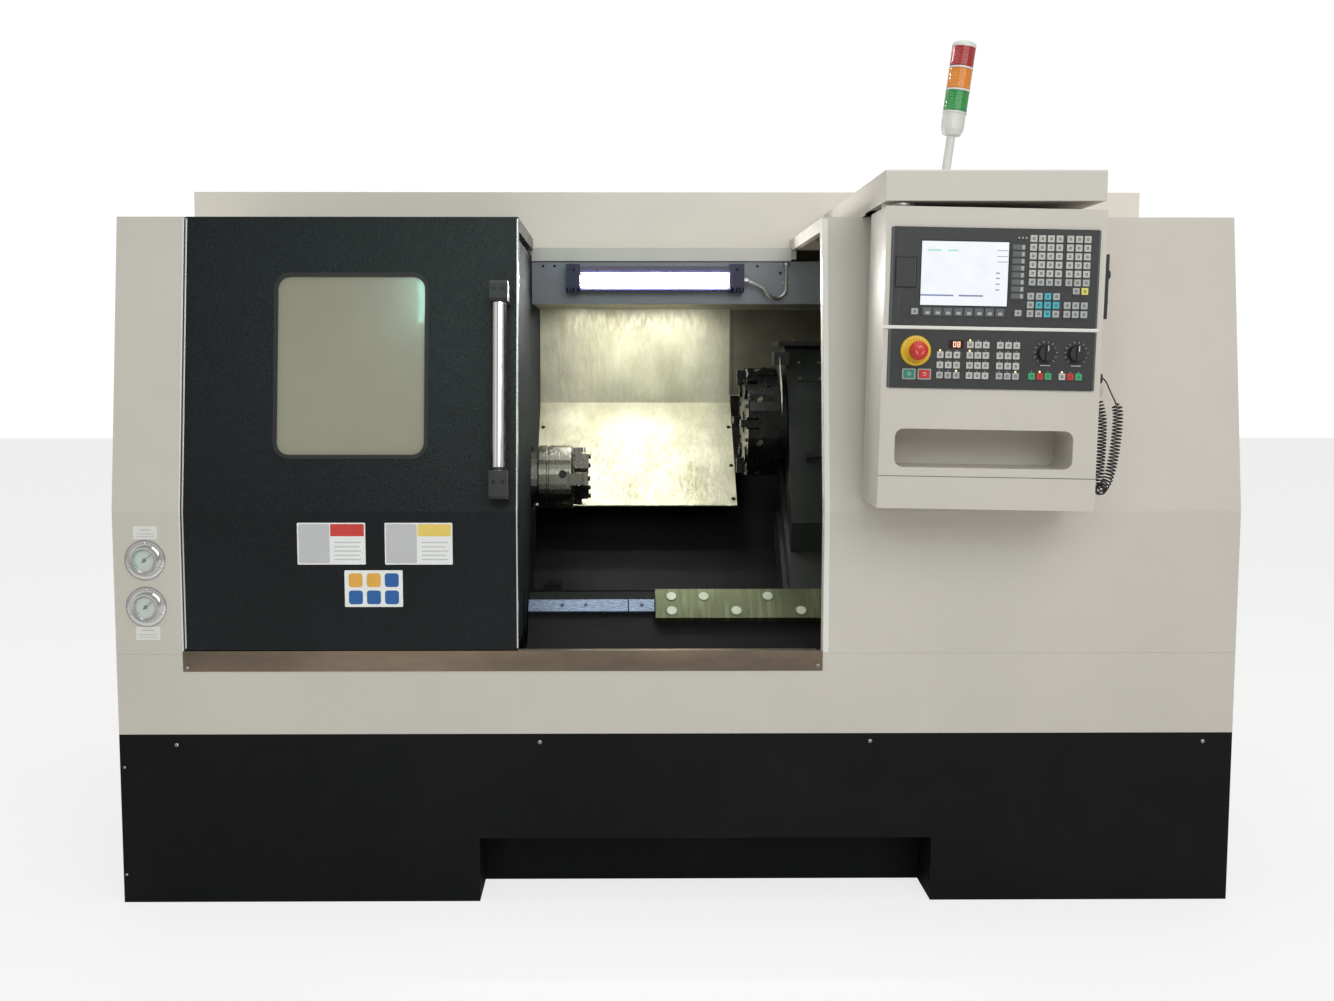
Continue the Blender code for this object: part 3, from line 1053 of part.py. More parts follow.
def make_pendant():
    box = block("pendant_box", (BOX_LEFT, PENDANT_FRONT, BOX_BOTTOM), (BOX_RIGHT, PENDANT_BACK, BOX_TOP))
    tray_left = BOX_LEFT + 0.032
    tray = outline("tray slot", "Y", rounded(tray_left, TRAY_LOW, tray_left + TRAY_WIDTH, TRAY_LOW + TRAY_HEIGHT,
                                             TRAY_CORNER), PENDANT_FRONT - 1, PENDANT_FRONT + TRAY_DEPTH)
    disc = rod("pivot disc", "Z", (PIVOT_X, PIVOT_Y), PIVOT_RADIUS - 0.004, BOX_TOP - 0.01, HOOD_LOW - 0.0008, 32)
    fittings, side_holes = side_fittings()
    pocket = block("switch pocket", (PANEL_LEFT + RIM, -1, CONTROL_LOW + RIM),
                   (PANEL_LEFT + PANEL_WIDTH - RIM, PENDANT_FRONT + 0.035, CONTROL_LOW + CONTROL_HEIGHT - RIM))
    box = shape(box, joins=[disc, *fittings], cuts=[tray, pocket])
    hang(shape(box, cuts=side_holes), cream)
    shelf = block("pendant_shelf", (BOX_LEFT - 0.0005, PENDANT_FRONT - 0.002, SHELF_BOTTOM),
                  (BOX_RIGHT, PENDANT_BACK, BOX_BOTTOM - GAP))
    hang(shelf, cream)
    display = block("display_unit", (PANEL_LEFT, FACE, DISPLAY_LOW),
                    (PANEL_LEFT + PANEL_WIDTH, PENDANT_FRONT - GAP, DISPLAY_LOW + DISPLAY_HEIGHT))
    window = block("screen recess", (PANEL_LEFT + 0.0577, FACE - 1, DISPLAY_LOW + 0.0414),
                   (PANEL_LEFT + 0.2367, FACE + 0.0012, DISPLAY_LOW + 0.1722))
    flap = block("port flap", (PANEL_LEFT + 0.005, FACE - 0.002, DISPLAY_LOW + 0.077),
                 (PANEL_LEFT + 0.048, FACE + 0.001, DISPLAY_LOW + 0.1384))
    hang(shape(display, joins=[keys("display keys", DISPLAY_LOW, display_keys()), flap], cuts=[window]), grey)
    x = PANEL_LEFT + ESTOP_U
    z = CONTROL_LOW + ESTOP_V
    control = block("control_panel", (PANEL_LEFT, FACE, CONTROL_LOW),
                    (PANEL_LEFT + PANEL_WIDTH, PENDANT_FRONT - GAP, CONTROL_LOW + CONTROL_HEIGHT))
    collar = rod("stop collar", "Y", (x, z), COLLAR_RADIUS, FACE - 0.005, FACE + 0.001, 32)
    stop_hole = rod("stop hole", "Y", (x, z), 0.0115, -1, 0, 20)
    push = [(PANEL_LEFT + u, CONTROL_LOW + 0.0288) for u in (0.0395, 0.0712)]
    bezels = [block(f"bezel {u}", (u - 0.0133, FACE - 0.003, v - 0.0107), (u + 0.0133, FACE + 0.001, v + 0.0107))
              for u, v in push]
    push_holes = [block(f"push hole {u}", (u - BUTTON_HALF - GAP, -1, v - BUTTON_TALL - GAP),
                        (u + BUTTON_HALF + GAP, 0, v + BUTTON_TALL + GAP)) for u, v in push]
    knobs = [(PANEL_LEFT + u, CONTROL_LOW + ESTOP_V) for u in (0.3206, 0.384)]
    knob_holes = [rod(f"knob hole {u}", "Y", (u, v), 0.0035, -1, 0, 16) for u, v in knobs]
    hang(shape(control, joins=[collar, *bezels, keys("control keys", CONTROL_LOW, control_keys())],
               cuts=[stop_hole, *push_holes, *knob_holes]), grey)
    button = turned("emergency_stop", [(0.002, ESTOP_PROUD), (0.012, ESTOP_PROUD - 0.0015),
                                       (0.0185, ESTOP_PROUD - 0.008), (0.0195, ESTOP_PROUD - 0.013),
                                       (0.0180, ESTOP_PROUD - 0.017), (0.0110, ESTOP_PROUD - 0.021),
                                       (0.0110, -PANEL_PROUD - 0.008), (0.002, -PANEL_PROUD - 0.008), (0.002, ESTOP_PROUD)], 24)
    moved(button, Matrix.Translation((x, FACE, z)) @ Matrix.Rotation(math.pi / 2, 4, "X"))
    hang(button, red, (x, FACE, z), True)
    for name, paint, (u, v) in (("green_button", green, push[0]), ("red_button", red, push[1])):
        cap = block(name, (u - BUTTON_HALF, FACE - 0.0055, v - BUTTON_TALL),
                    (u + BUTTON_HALF, PENDANT_FRONT + 0.006, v + BUTTON_TALL))
        hang(cap, paint, (u, FACE, v))
    for name, (u, v) in (("feed_override_knob", knobs[0]), ("spindle_override_knob", knobs[1])):
        cap = rod(name, "Y", (u, v), 0.0165, FACE - 0.016, FACE - GAP * 2, 24)
        stem = rod("knob stem", "Y", (u, v), 0.0031, FACE - 0.01, PENDANT_FRONT + 0.006, 12)
        grip = block("knob grip", (u - 0.0035, FACE - 0.020, v - 0.016), (u + 0.0035, FACE - 0.01, v + 0.016))
        hang(shape(cap, joins=[stem, grip]), black, (u, FACE, v))


def side_fittings():
    """The plate for the knob and key switch, and the gland and elbow of the curly cord."""
    x = BOX_RIGHT - 0.001
    plate = block("side plate", (x, SIDE_Y - 0.022, SIDE_KEY_Z - 0.034),
                  (x + 0.004, SIDE_Y + 0.030, SIDE_KNOB_Z + 0.04))
    wing = block("gland wing", (x, CORD_Y - 0.014, CORD_HIGH - 0.014), (x + 0.004, CORD_BACK, CORD_HIGH + 0.014))
    back = block("gland back", (x, CORD_BACK - 0.014, CORD_LOW),
                 (x + 0.004, CORD_BACK + 0.014, CORD_HIGH + 0.014))
    nose = rod("gland nose", "X", (CORD_Y, CORD_HIGH), 0.010, x, BOX_RIGHT + GAP + GLAND_LENGTH, 16)
    elbow = block("gland elbow", (x, CORD_BACK - 0.011, CORD_LOW),
                  (x + 0.028, CORD_BACK + 0.011, CORD_LOW + 0.024))
    holes = [rod(f"side hole {z}", "X", (SIDE_Y, z), 0.0045, x + 0.002, x + 1, 16)
             for z in (SIDE_KNOB_Z, SIDE_KEY_Z)]
    return [plate, wing, back, nose, elbow], holes


def make_side():
    """The round knob and the key switch on the pendant's right side."""
    x = BOX_RIGHT + GAP
    knob = rod("side_knob", "X", (SIDE_Y, SIDE_KNOB_Z), 0.0085, x + 0.003 + GAP, x + 0.017, 20)
    stem = rod("side knob stem", "X", (SIDE_Y, SIDE_KNOB_Z), 0.0042, x + 0.001 + GAP, x + 0.01, 12)
    hang(shape(knob, joins=[stem]), black, (x, SIDE_Y, SIDE_KNOB_Z))
    switch = rod("key_switch", "X", (SIDE_Y, SIDE_KEY_Z), 0.017, x + 0.003 + GAP, x + 0.012, 24, 0.015)
    stem = rod("key stem", "X", (SIDE_Y, SIDE_KEY_Z), 0.0042, x + 0.001 + GAP, x + 0.01, 12)
    bow = block("key bow", (x + 0.010, SIDE_Y - 0.001, SIDE_KEY_Z - 0.008),
                (x + 0.016, SIDE_Y + 0.001, SIDE_KEY_Z + 0.008))
    hang(shape(switch, joins=[stem, bow]), chrome, (x, SIDE_Y, SIDE_KEY_Z))


def make_cord():
    """The curly cord as one tube of its coils' outer size: out of the gland, down, round and up to the elbow."""
    x = BOX_RIGHT + GAP + GLAND_LENGTH + GAP
    bottom = 0.952
    route = [Vector(p) for p in (
        (x, CORD_Y, CORD_HIGH), (x + 0.004, CORD_Y, CORD_HIGH), (x + 0.010, CORD_Y, CORD_HIGH),
        (0.908, -0.161, 1.180), (0.920, -0.164, 1.150), (0.923, -0.166, 1.115),
        (0.919, -0.168, 1.080), (0.914, -0.170, 1.030), (0.905, -0.168, 0.985), (0.896, -0.158, 0.959),
        (0.891, -0.144, bottom), (0.888, -0.130, 0.958), (0.887, CORD_BACK, 0.985), (0.887, CORD_BACK, 1.040),
        (0.887, CORD_BACK, 1.100), (0.887, CORD_BACK, CORD_LOW - GAP))]
    curve = bpy.data.curves.new("coil_cord", "CURVE")
    curve.dimensions = "3D"
    curve.bevel_depth = CORD_RADIUS
    curve.bevel_resolution = 2
    curve.use_fill_caps = True
    points = smooth(route, 3)
    spline = curve.splines.new("POLY")
    spline.points.add(len(points) - 1)
    for point, place in zip(spline.points, points):
        point.co = (*place, 1)
    hang(bpy.data.objects.new("coil_cord", curve), black)


def make_tower():
    lean = Matrix.Translation((TOWER_X, TOWER_Y, HOOD_HIGH)) @ Matrix.Rotation(TOWER_LEAN, 4, "Y")
    r = TOWER_RADIUS
    step = TOWER_POLE
    foot = rod("tower foot", "Z", (0, 0), 0.028, 0.004, 0.014, 20)
    pole = turned("signal_pole", [(0.002, step - GAP), (r - 0.001, step - GAP), (r - 0.001, step - 0.036),
                                  (r - 0.006, step - 0.048), (0.0095, step - 0.050), (0.0095, -0.001),
                                  (0.002, -0.001), (0.002, step - GAP)], 24)
    pole = shape(pole, joins=[foot])
    base = block("tower seat", (TOWER_X - 0.03, TOWER_Y - 0.03, HOOD_HIGH + GAP),
                 (TOWER_X + 0.03, TOWER_Y + 0.03, HOOD_HIGH + 0.008))
    below = block("tower below", (TOWER_X - 0.1, TOWER_Y - 0.1, HOOD_HIGH - 0.1),
                  (TOWER_X + 0.1, TOWER_Y + 0.1, HOOD_HIGH + GAP))
    pole = shape(moved(pole, lean), cuts=[below])
    carry(link(shape(pole, joins=[base]), ivory, True))
    for name, paint in (("signal_green_lens", green), ("signal_amber_lens", amber), ("signal_red_lens", red)):
        top = step + LENS_HEIGHT - GAP
        crown = [(0.002, top), (r - 0.003, top), (r - 0.003, top - 0.003), (r, top - 0.003)]
        if paint is red:
            crown = [(0.002, top + 0.011), (r - 0.012, top + 0.011), (r - 0.003, top + 0.007), (r, top + 0.003)]
        profile = [*crown, (r, step + 0.004), (r - 0.003, step + 0.004), (r - 0.003, step), (0.002, step), crown[0]]
        carry(link(moved(turned(name, profile, 24), lean), paint, True))
        step += LENS_HEIGHT


def make_covers():
    left = -HALF
    gauge_holes = [rod(f"gauge hole {z}", "Y", (GAUGE_X, z), 0.026 + GAP, -1, SKIN + 0.04, 24)
                   for z in (GAUGE_HIGH, GAUGE_LOW)]
    end_cover("left_end_cover", left, left + COLUMN_WIDTH, True, gauge_holes)
    end_cover("right_end_cover", OPENING_RIGHT, HALF, False)
    ring("lower_cover", BASE_TOP, SEAM, cream)


make_stand()
make_covers()
make_roof()
make_rear()
make_sill()
make_rail()
make_headstock_cover()
front_lean = make_door()
make_handle(front_lean)
make_bed()
make_way_plate()
make_back_wall()
make_lamp()
make_chute()
make_headstock()
make_spindle()
make_chuck()
make_drive()
make_saddle()
make_cross_slide()
make_turret()
make_telescopic_cover()
make_cabinet()
make_tank()
make_gauges()
make_hood()
make_pendant()
make_side()
make_cord()
make_tower()
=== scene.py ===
import math
import bmesh
import bpy
from mathutils import Matrix, Vector


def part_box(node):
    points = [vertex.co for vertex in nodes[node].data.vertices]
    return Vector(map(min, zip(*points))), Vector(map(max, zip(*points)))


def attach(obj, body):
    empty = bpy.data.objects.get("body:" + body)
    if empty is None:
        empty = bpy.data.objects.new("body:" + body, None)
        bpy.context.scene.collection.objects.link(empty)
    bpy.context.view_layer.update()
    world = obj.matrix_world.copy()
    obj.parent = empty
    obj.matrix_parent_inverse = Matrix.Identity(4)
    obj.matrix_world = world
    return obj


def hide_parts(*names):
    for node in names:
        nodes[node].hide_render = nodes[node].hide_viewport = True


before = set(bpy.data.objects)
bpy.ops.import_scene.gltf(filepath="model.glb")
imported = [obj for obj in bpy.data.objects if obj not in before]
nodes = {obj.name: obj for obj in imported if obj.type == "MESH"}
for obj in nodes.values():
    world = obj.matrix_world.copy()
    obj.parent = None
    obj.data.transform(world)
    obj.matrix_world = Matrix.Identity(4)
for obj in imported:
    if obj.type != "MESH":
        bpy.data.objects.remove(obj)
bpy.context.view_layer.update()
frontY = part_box("base_stand")[0].y  # the front plane below the kink; depths are measured from it
imageWidth, imageHeight = 1334, 1001


def at(x, depth, z):
    return Vector((x, frontY + depth, z))


def yAt(depth):
    return at(0, depth, 0).y


def around(centre, count, axis="Y", place=Matrix(), start=0.0):
    # a frame at the centre for each of count turns about the axis
    for i in range(count):
        yield place @ Matrix.Translation(centre) @ Matrix.Rotation(start + 2 * math.pi * i / count, 4, axis)


def spoke(degrees):
    # the way out from a line along X, counted from the front over the top
    return Vector((0, -math.cos(math.radians(degrees)), math.sin(math.radians(degrees))))


# the pendant hangs slightly out of true; its parts are written upright and turned with it
pendant = {"pivot": at(0.452, -0.125, 1.5445), "tilt": math.radians(1.05), "left": 0.4175, "right": 0.8705,
           "front": -0.19, "face": -0.194,
           "panelLeft": 0.433, "panelWide": 0.42, "displayLow": 1.2925, "displayHigh": 0.2,
           "controlLow": 1.164, "controlHigh": 0.12}
pendantPlace = (Matrix.Translation(pendant["pivot"]) @ Matrix.Rotation(pendant["tilt"], 4, "Y")
                @ Matrix.Translation(-pendant["pivot"]))

# the front leans back above the kink; this puts upright shapes onto it
lean = {"kink": 0.888, "top": 1.54, "back": 0.094}
leanAngle = math.atan2(lean["back"], lean["top"] - lean["kink"])
leanPlace = (Matrix.Translation(at(0, 0, lean["kink"])) @ Matrix.Rotation(-leanAngle, 4, "X")
             @ Matrix.Translation(-at(0, 0, lean["kink"])))

print("camera")
view = {"x": -0.13231, "depth": -3.14829, "z": 1.21088, "yaw": 0.00817, "pitch": 0.09276,
        "focalPixels": 1430.66, "centreX": 629.953, "centreY": 497.927, "sensor": 36.0}
cameraData = bpy.data.cameras.new("photoCamera")
cameraData.sensor_width = view["sensor"]
cameraData.lens = view["focalPixels"] / imageWidth * view["sensor"]
cameraData.shift_x = (imageWidth / 2 - view["centreX"]) / imageWidth
cameraData.shift_y = (view["centreY"] - imageHeight / 2) / imageWidth
cameraData.clip_start = 0.05
camera = bpy.data.objects.new("photoCamera", cameraData)
camera.location = at(view["x"], view["depth"], view["z"])
camera.rotation_euler = (math.pi / 2 - view["pitch"], 0, -view["yaw"])
bpy.context.scene.collection.objects.link(camera)
bpy.context.scene.camera = camera
bpy.context.scene.view_settings.view_transform = "Standard"

print("cord")


def toPiece(name, bm, body, *materials, smooth=None):
    bmesh.ops.recalc_face_normals(bm, faces=bm.faces)
    mesh = bpy.data.meshes.new(name)
    bm.to_mesh(mesh)
    bm.free()
    for material in materials:
        mesh.materials.append(material)
    if smooth:
        mesh.shade_smooth()
        mesh.set_sharp_from_angle(angle=math.radians(smooth))
    piece = bpy.data.objects.new(name, mesh)
    bpy.context.scene.collection.objects.link(piece)
    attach(piece, body)


def onPendant(x, depth, z):
    return pendantPlace @ at(x, depth, z)


def smoothRoute(route, steps):
    ends = [route[0] * 2 - route[1], *route, route[-1] * 2 - route[-2]]
    points = []
    for a, b, c, d in zip(ends, ends[1:], ends[2:], ends[3:]):
        for i in range(steps):
            t = i / steps
            points.append(0.5 * ((2 * b) + (c - a) * t + (2 * a - 5 * b + 4 * c - d) * t * t
                                 + (3 * b - a - 3 * c + d) * t ** 3))
    return [*points, route[-1]]


def evenly(points, step):
    # points a fixed step apart along a line, with the way the line runs at each
    spots, run = [], 0.0
    for a, b in zip(points, points[1:]):
        span = (b - a).length
        while run <= span:
            spots.append((a.lerp(b, run / span), (b - a).normalized()))
            run += step
        run -= span
    spots.append((points[-1], (points[-1] - points[-2]).normalized()))
    return spots


curly = {"wire": 0.0030, "coilRadius": 0.0094, "pitch": 0.0072, "perTurn": 16, "straight": (0.060, 0.006),
         "blend": 0.010, "smooth": 24, "start": 0.8831, "front": -0.160, "back": -0.119, "high": 1.190,
         "low": 1.1517, "bottom": 0.952}
curlyRoute = [onPendant(*p) for p in (
    (curly["start"], curly["front"], curly["high"]), (curly["start"] + 0.003, curly["front"], curly["high"]),
    (0.893, -0.160, 1.1830), (0.904, -0.162, 1.1600), (0.915, -0.164, 1.1370), (0.919, -0.166, 1.115),
    (0.918, -0.168, 1.080), (0.913, -0.170, 1.030), (0.905, -0.168, 0.985), (0.898, -0.158, 0.962),
    (0.896, -0.146, curly["bottom"] + 0.003), (0.896, -0.134, 0.962), (0.898, -0.128, 0.985),
    (0.900, -0.127, 1.040), (0.899, -0.127, 1.100), (0.892, -0.122, 1.138), (0.887, curly["back"], 1.150),
    (0.887, curly["back"], curly["low"]))]
curlyStep = curly["pitch"] / curly["perTurn"]
curlySpots = evenly(smoothRoute(curlyRoute, curly["smooth"]), curlyStep)
curlyReach = curlyStep * (len(curlySpots) - 1)
side = Vector((0, 0, 1))
helix = []
for i, (spot, along) in enumerate(curlySpots):
    side = (side - along * side.dot(along)).normalized()
    run = i * curlyStep
    fromEnd = min(run - curly["straight"][0], curlyReach - run - curly["straight"][1])
    swell = min(1, max(0, fromEnd / curly["blend"]))
    turn = 2 * math.pi * i / curly["perTurn"]
    out = side * math.cos(turn) + along.cross(side) * math.sin(turn)
    helix.append(spot + out * curly["coilRadius"] * swell * swell * (3 - 2 * swell))
curlyCurve = bpy.data.curves.new("curlyCord", "CURVE")
curlyCurve.dimensions = "3D"
curlyCurve.bevel_depth = 1.0  # each point carries the wire's radius, so that the curve's own box is right
curlyCurve.bevel_resolution = 2
curlyCurve.use_fill_caps = True
curlySpline = curlyCurve.splines.new("POLY")
curlySpline.points.add(len(helix) - 1)
for point, place in zip(curlySpline.points, helix):
    point.co = (*place, 1)
    point.radius = curly["wire"] / 2
curlyCord = bpy.data.objects.new("curlyCord", curlyCurve)
bpy.context.scene.collection.objects.link(curlyCord)
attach(curlyCord, "pendant")
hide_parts("coil_cord")

print("materials")


def colourRamp(tree, source, low, high, colours):
    ramp = tree.nodes.new("ShaderNodeValToRGB")
    ramp.color_ramp.elements[0].position = low
    ramp.color_ramp.elements[1].position = high
    ramp.color_ramp.elements[0].color = (*colours[0], 1)
    ramp.color_ramp.elements[1].color = (*colours[1], 1)
    tree.links.new(source, ramp.inputs[0])
    return ramp.outputs[0]


def noiseTexture(tree, vector, scale, detail=4.0, rough=0.55):
    texture = tree.nodes.new("ShaderNodeTexNoise")
    texture.inputs["Scale"].default_value = scale
    texture.inputs["Detail"].default_value = detail
    texture.inputs["Roughness"].default_value = rough
    tree.links.new(vector, texture.inputs["Vector"])
    return texture.outputs["Fac"]


def mappedCoordinates(tree, stretch):
    coordinates = tree.nodes.new("ShaderNodeTexCoord")
    mapping = tree.nodes.new("ShaderNodeMapping")
    mapping.inputs["Scale"].default_value = stretch
    tree.links.new(coordinates.outputs["Object"], mapping.inputs["Vector"])
    return mapping.outputs["Vector"]


def mapRange(tree, value, low, high, fromLow=0.3, fromHigh=0.7):
    node = tree.nodes.new("ShaderNodeMapRange")
    node.inputs["From Min"].default_value = fromLow
    node.inputs["From Max"].default_value = fromHigh
    node.inputs["To Min"].default_value = low
    node.inputs["To Max"].default_value = high
    tree.links.new(value, node.inputs["Value"])
    return node.outputs["Result"]


def mixColour(tree, factor, first, second):
    node = tree.nodes.new("ShaderNodeMix")
    node.data_type = "RGBA"
    tree.links.new(factor, node.inputs[0])
    for value, socket in ((first, node.inputs[6]), (second, node.inputs[7])):
        if isinstance(value, tuple):
            socket.default_value = (*value, 1)
        else:
            tree.links.new(value, socket)
    return node.outputs[2]


def addBump(tree, shader, height, strength, distance, under=None):
    bump = tree.nodes.new("ShaderNodeBump")
    bump.inputs["Strength"].default_value = strength
    bump.inputs["Distance"].default_value = distance
    tree.links.new(height, bump.inputs["Height"])
    if under is not None:
        tree.links.new(under, bump.inputs["Normal"])
    tree.links.new(bump.outputs["Normal"], shader.inputs["Normal"])
    return bump.outputs["Normal"]


def finish(name, color, drift=0.05, driftScale=2.0, rough=(0.4, 0.5), grain=0.1, grainScale=900.0,
           grainDepth=0.0004, stretch=(1, 1, 1), metallic=0.0, wave=0.0, dirt=None, **sockets):
    made = bpy.data.materials.new(name)
    made.use_nodes = True
    made.diffuse_color = (*color, 1)
    tree = made.node_tree
    shader = tree.nodes["Principled BSDF"]
    shader.inputs["Metallic"].default_value = metallic
    for socket, value in sockets.items():
        shader.inputs[socket.replace("_", " ")].default_value = value
    plain = mappedCoordinates(tree, (1, 1, 1))
    brushed = mappedCoordinates(tree, stretch)
    slow = noiseTexture(tree, plain, driftScale, 5.0)
    darker = tuple(c * (1 - drift) for c in color)
    lighter = tuple(min(1, c * (1 + drift)) for c in color)
    base = colourRamp(tree, slow, 0.35, 0.65, (darker, lighter))
    if dirt:  # a second, patchier colour that shows through in places
        patches = noiseTexture(tree, brushed, dirt["scale"], 6.0, 0.65)
        amount = mapRange(tree, patches, 0.0, dirt["amount"], dirt.get("from", 0.45), dirt.get("to", 0.75))
        base = mixColour(tree, amount, base, dirt["color"])
    tree.links.new(base, shader.inputs["Base Color"])
    middle = noiseTexture(tree, brushed, driftScale * 9, 4.0)
    tree.links.new(mapRange(tree, middle, rough[0], rough[1]), shader.inputs["Roughness"])
    under = None
    if wave:  # panels are never quite flat
        under = addBump(tree, shader, slow, 0.5, wave)
    fine = noiseTexture(tree, brushed, grainScale, 2.0)
    addBump(tree, shader, fine, grain, grainDepth, under)
    return made


def glowing(name, color, strength):
    made = bpy.data.materials.new(name)
    made.use_nodes = True
    tree = made.node_tree
    shader = tree.nodes["Principled BSDF"]
    plain = mappedCoordinates(tree, (1, 1, 1))
    drift = noiseTexture(tree, plain, 30)
    pair = (tuple(c * 0.94 for c in color), color)
    tint = colourRamp(tree, drift, 0.3, 0.6, pair)
    shader.inputs["Base Color"].default_value = (0.04, 0.04, 0.04, 1)
    tree.links.new(tint, shader.inputs["Emission Color"])
    shader.inputs["Emission Strength"].default_value = strength
    shader.inputs["Roughness"].default_value = 0.35
    return made


sheetLook = {"drift": 0.025, "driftScale": 1.6, "grain": 0.12, "grainScale": 650, "wave": 0.002}
keyCapLook = {"drift": 0.03, "driftScale": 80, "rough": (0.4, 0.5), "grain": 0.1}
printLook = {"drift": 0.02, "driftScale": 80, "rough": (0.5, 0.6), "grain": 0.05}
plateLook = {"drift": 0.03, "driftScale": 20, "rough": (0.3, 0.4), "grain": 0.05}
creamPaint = finish("creamPaint", (0.615, 0.572, 0.515), rough=(0.36, 0.47), **sheetLook,
                    dirt={"color": (0.50, 0.475, 0.43), "scale": 1.3, "amount": 0.4})
# the roof is the same cream paint, made lighter as painted light where it faces up
roofCreamPaintedLight = finish("roofCreamPaintedLight", (0.80, 0.75, 0.675), rough=(0.4, 0.5), **sheetLook,
                   dirt={"color": (0.68, 0.65, 0.58), "scale": 1.3, "amount": 0.4})
# the gauge cases are chrome, darkened to stand in for the dark surroundings they mirror: painted reflection
gaugeChromePaintedReflection = finish("gaugeChromePaintedReflection", (0.24, 0.225, 0.215), drift=0.05, driftScale=30, rough=(0.10, 0.18), grain=0.04,
                    grainScale=300, metallic=1.0)
# pale trim for plates and strips; on the cover edge strips it is a painted highlight
paleTrimAndHighlight = finish("paleTrimAndHighlight", (0.78, 0.77, 0.72), drift=0.02, rough=(0.3, 0.4), grain=0.06)
doorPaint = finish("doorPaint", (0.0080, 0.0090, 0.0112), drift=0.12, driftScale=3.0, rough=(0.24, 0.32),
                   grain=0.75, grainScale=300, grainDepth=0.0009, wave=0.001, Specular_IOR_Level=0.22,
                   dirt={"color": (0.016, 0.021, 0.021), "scale": 260, "amount": 0.6, "from": 0.5, "to": 0.62})
basePaint = finish("basePaint", (0.0042, 0.0047, 0.0052), drift=0.1, driftScale=2.5, rough=(0.46, 0.60),
                   grain=0.3, grainScale=500, Specular_IOR_Level=0.15,
                   dirt={"color": (0.011, 0.011, 0.010), "scale": 3.0, "amount": 0.5})
sillSteel = finish("sillSteel", (0.27, 0.205, 0.15), drift=0.3, driftScale=1.3, rough=(0.3, 0.42), grain=0.18,
                   grainScale=60, stretch=(1, 3, 3), metallic=0.9,
                   dirt={"color": (0.13, 0.105, 0.08), "scale": 1.1, "amount": 0.8, "from": 0.42, "to": 0.60})
brushedSteel = finish("brushedSteel", (0.52, 0.52, 0.50), drift=0.08, driftScale=5, rough=(0.24, 0.4), grain=0.2,
                      grainScale=80, stretch=(1, 25, 25), metallic=1.0)
railSteel = finish("railSteel", (0.50, 0.49, 0.46), drift=0.05, driftScale=4, rough=(0.3, 0.42), grain=0.06,
                   grainScale=70, stretch=(1, 30, 30), metallic=0.3)
turnedSteel = finish("turnedSteel", (0.255, 0.255, 0.215), drift=0.1, driftScale=12, rough=(0.2, 0.34),
                     grain=0.22, grainScale=120, stretch=(12, 1, 1), metallic=1.0,
                     dirt={"color": (0.20, 0.19, 0.15), "scale": 9, "amount": 0.4})
wallSteel = finish("wallSteel", (0.46, 0.45, 0.35), drift=0.2, driftScale=7, rough=(0.42, 0.66), grain=0.5,
                   grainScale=26, grainDepth=0.002, stretch=(2.2, 1, 0.7), metallic=0.78,
                   dirt={"color": (0.30, 0.29, 0.17), "scale": 5, "amount": 0.5, "from": 0.4, "to": 0.66})
chuteSteel = finish("chuteSteel", (0.022, 0.023, 0.020), drift=0.25, driftScale=5, rough=(0.3, 0.5), grain=0.4,
                    grainScale=40, grainDepth=0.001, metallic=0.4)
chromePlate = finish("chromePlate", (0.80, 0.80, 0.79), drift=0.02, rough=(0.05, 0.11), grain=0.03, grainScale=300,
                     metallic=1.0)
darkCasting = finish("darkCasting", (0.021, 0.024, 0.0225), drift=0.2, driftScale=6, rough=(0.34, 0.5), grain=0.5,
                     grainScale=180, grainDepth=0.001, Specular_IOR_Level=0.3,
                     dirt={"color": (0.034, 0.037, 0.030), "scale": 9, "amount": 0.5})
bedCasting = finish("bedCasting", (0.0075, 0.0085, 0.0080), drift=0.2, driftScale=5, rough=(0.5, 0.65), grain=0.4,
                    grainScale=150, grainDepth=0.001, Specular_IOR_Level=0.12)
blackSteel = finish("blackSteel", (0.0085, 0.0085, 0.0085), drift=0.15, driftScale=20, rough=(0.22, 0.38),
                    grain=0.2, grainScale=300, metallic=0.6,
                    dirt={"color": (0.06, 0.06, 0.045), "scale": 26, "amount": 0.35})
waySteel = finish("waySteel", (0.115, 0.130, 0.070), drift=0.25, driftScale=5, rough=(0.26, 0.4), grain=0.3,
                  grainScale=60, stretch=(14, 1, 1), metallic=0.65,
                  dirt={"color": (0.24, 0.28, 0.15), "scale": 5.0, "amount": 0.6, "from": 0.5, "to": 0.66})
plugFace = finish("plugFace", (0.52, 0.58, 0.44), drift=0.06, driftScale=60, rough=(0.3, 0.45), grain=0.1)
plugRim = finish("plugRim", (0.16, 0.18, 0.12), drift=0.06, driftScale=60, rough=(0.3, 0.45), grain=0.1,
                 metallic=0.5)
# a darker copy of the wall steel: painted shade
paintedShadeSteel = finish("paintedShadeSteel", (0.115, 0.105, 0.080), drift=0.2, driftScale=9, rough=(0.35, 0.5), grain=0.4,
                    grainScale=40, stretch=(2.2, 1, 0.7), metallic=0.5)
innerPaint = finish("innerPaint", (0.012, 0.015, 0.017), drift=0.1, driftScale=3.0, rough=(0.7, 0.8), grain=0.3,
                    grainScale=420, Specular_IOR_Level=0.06)
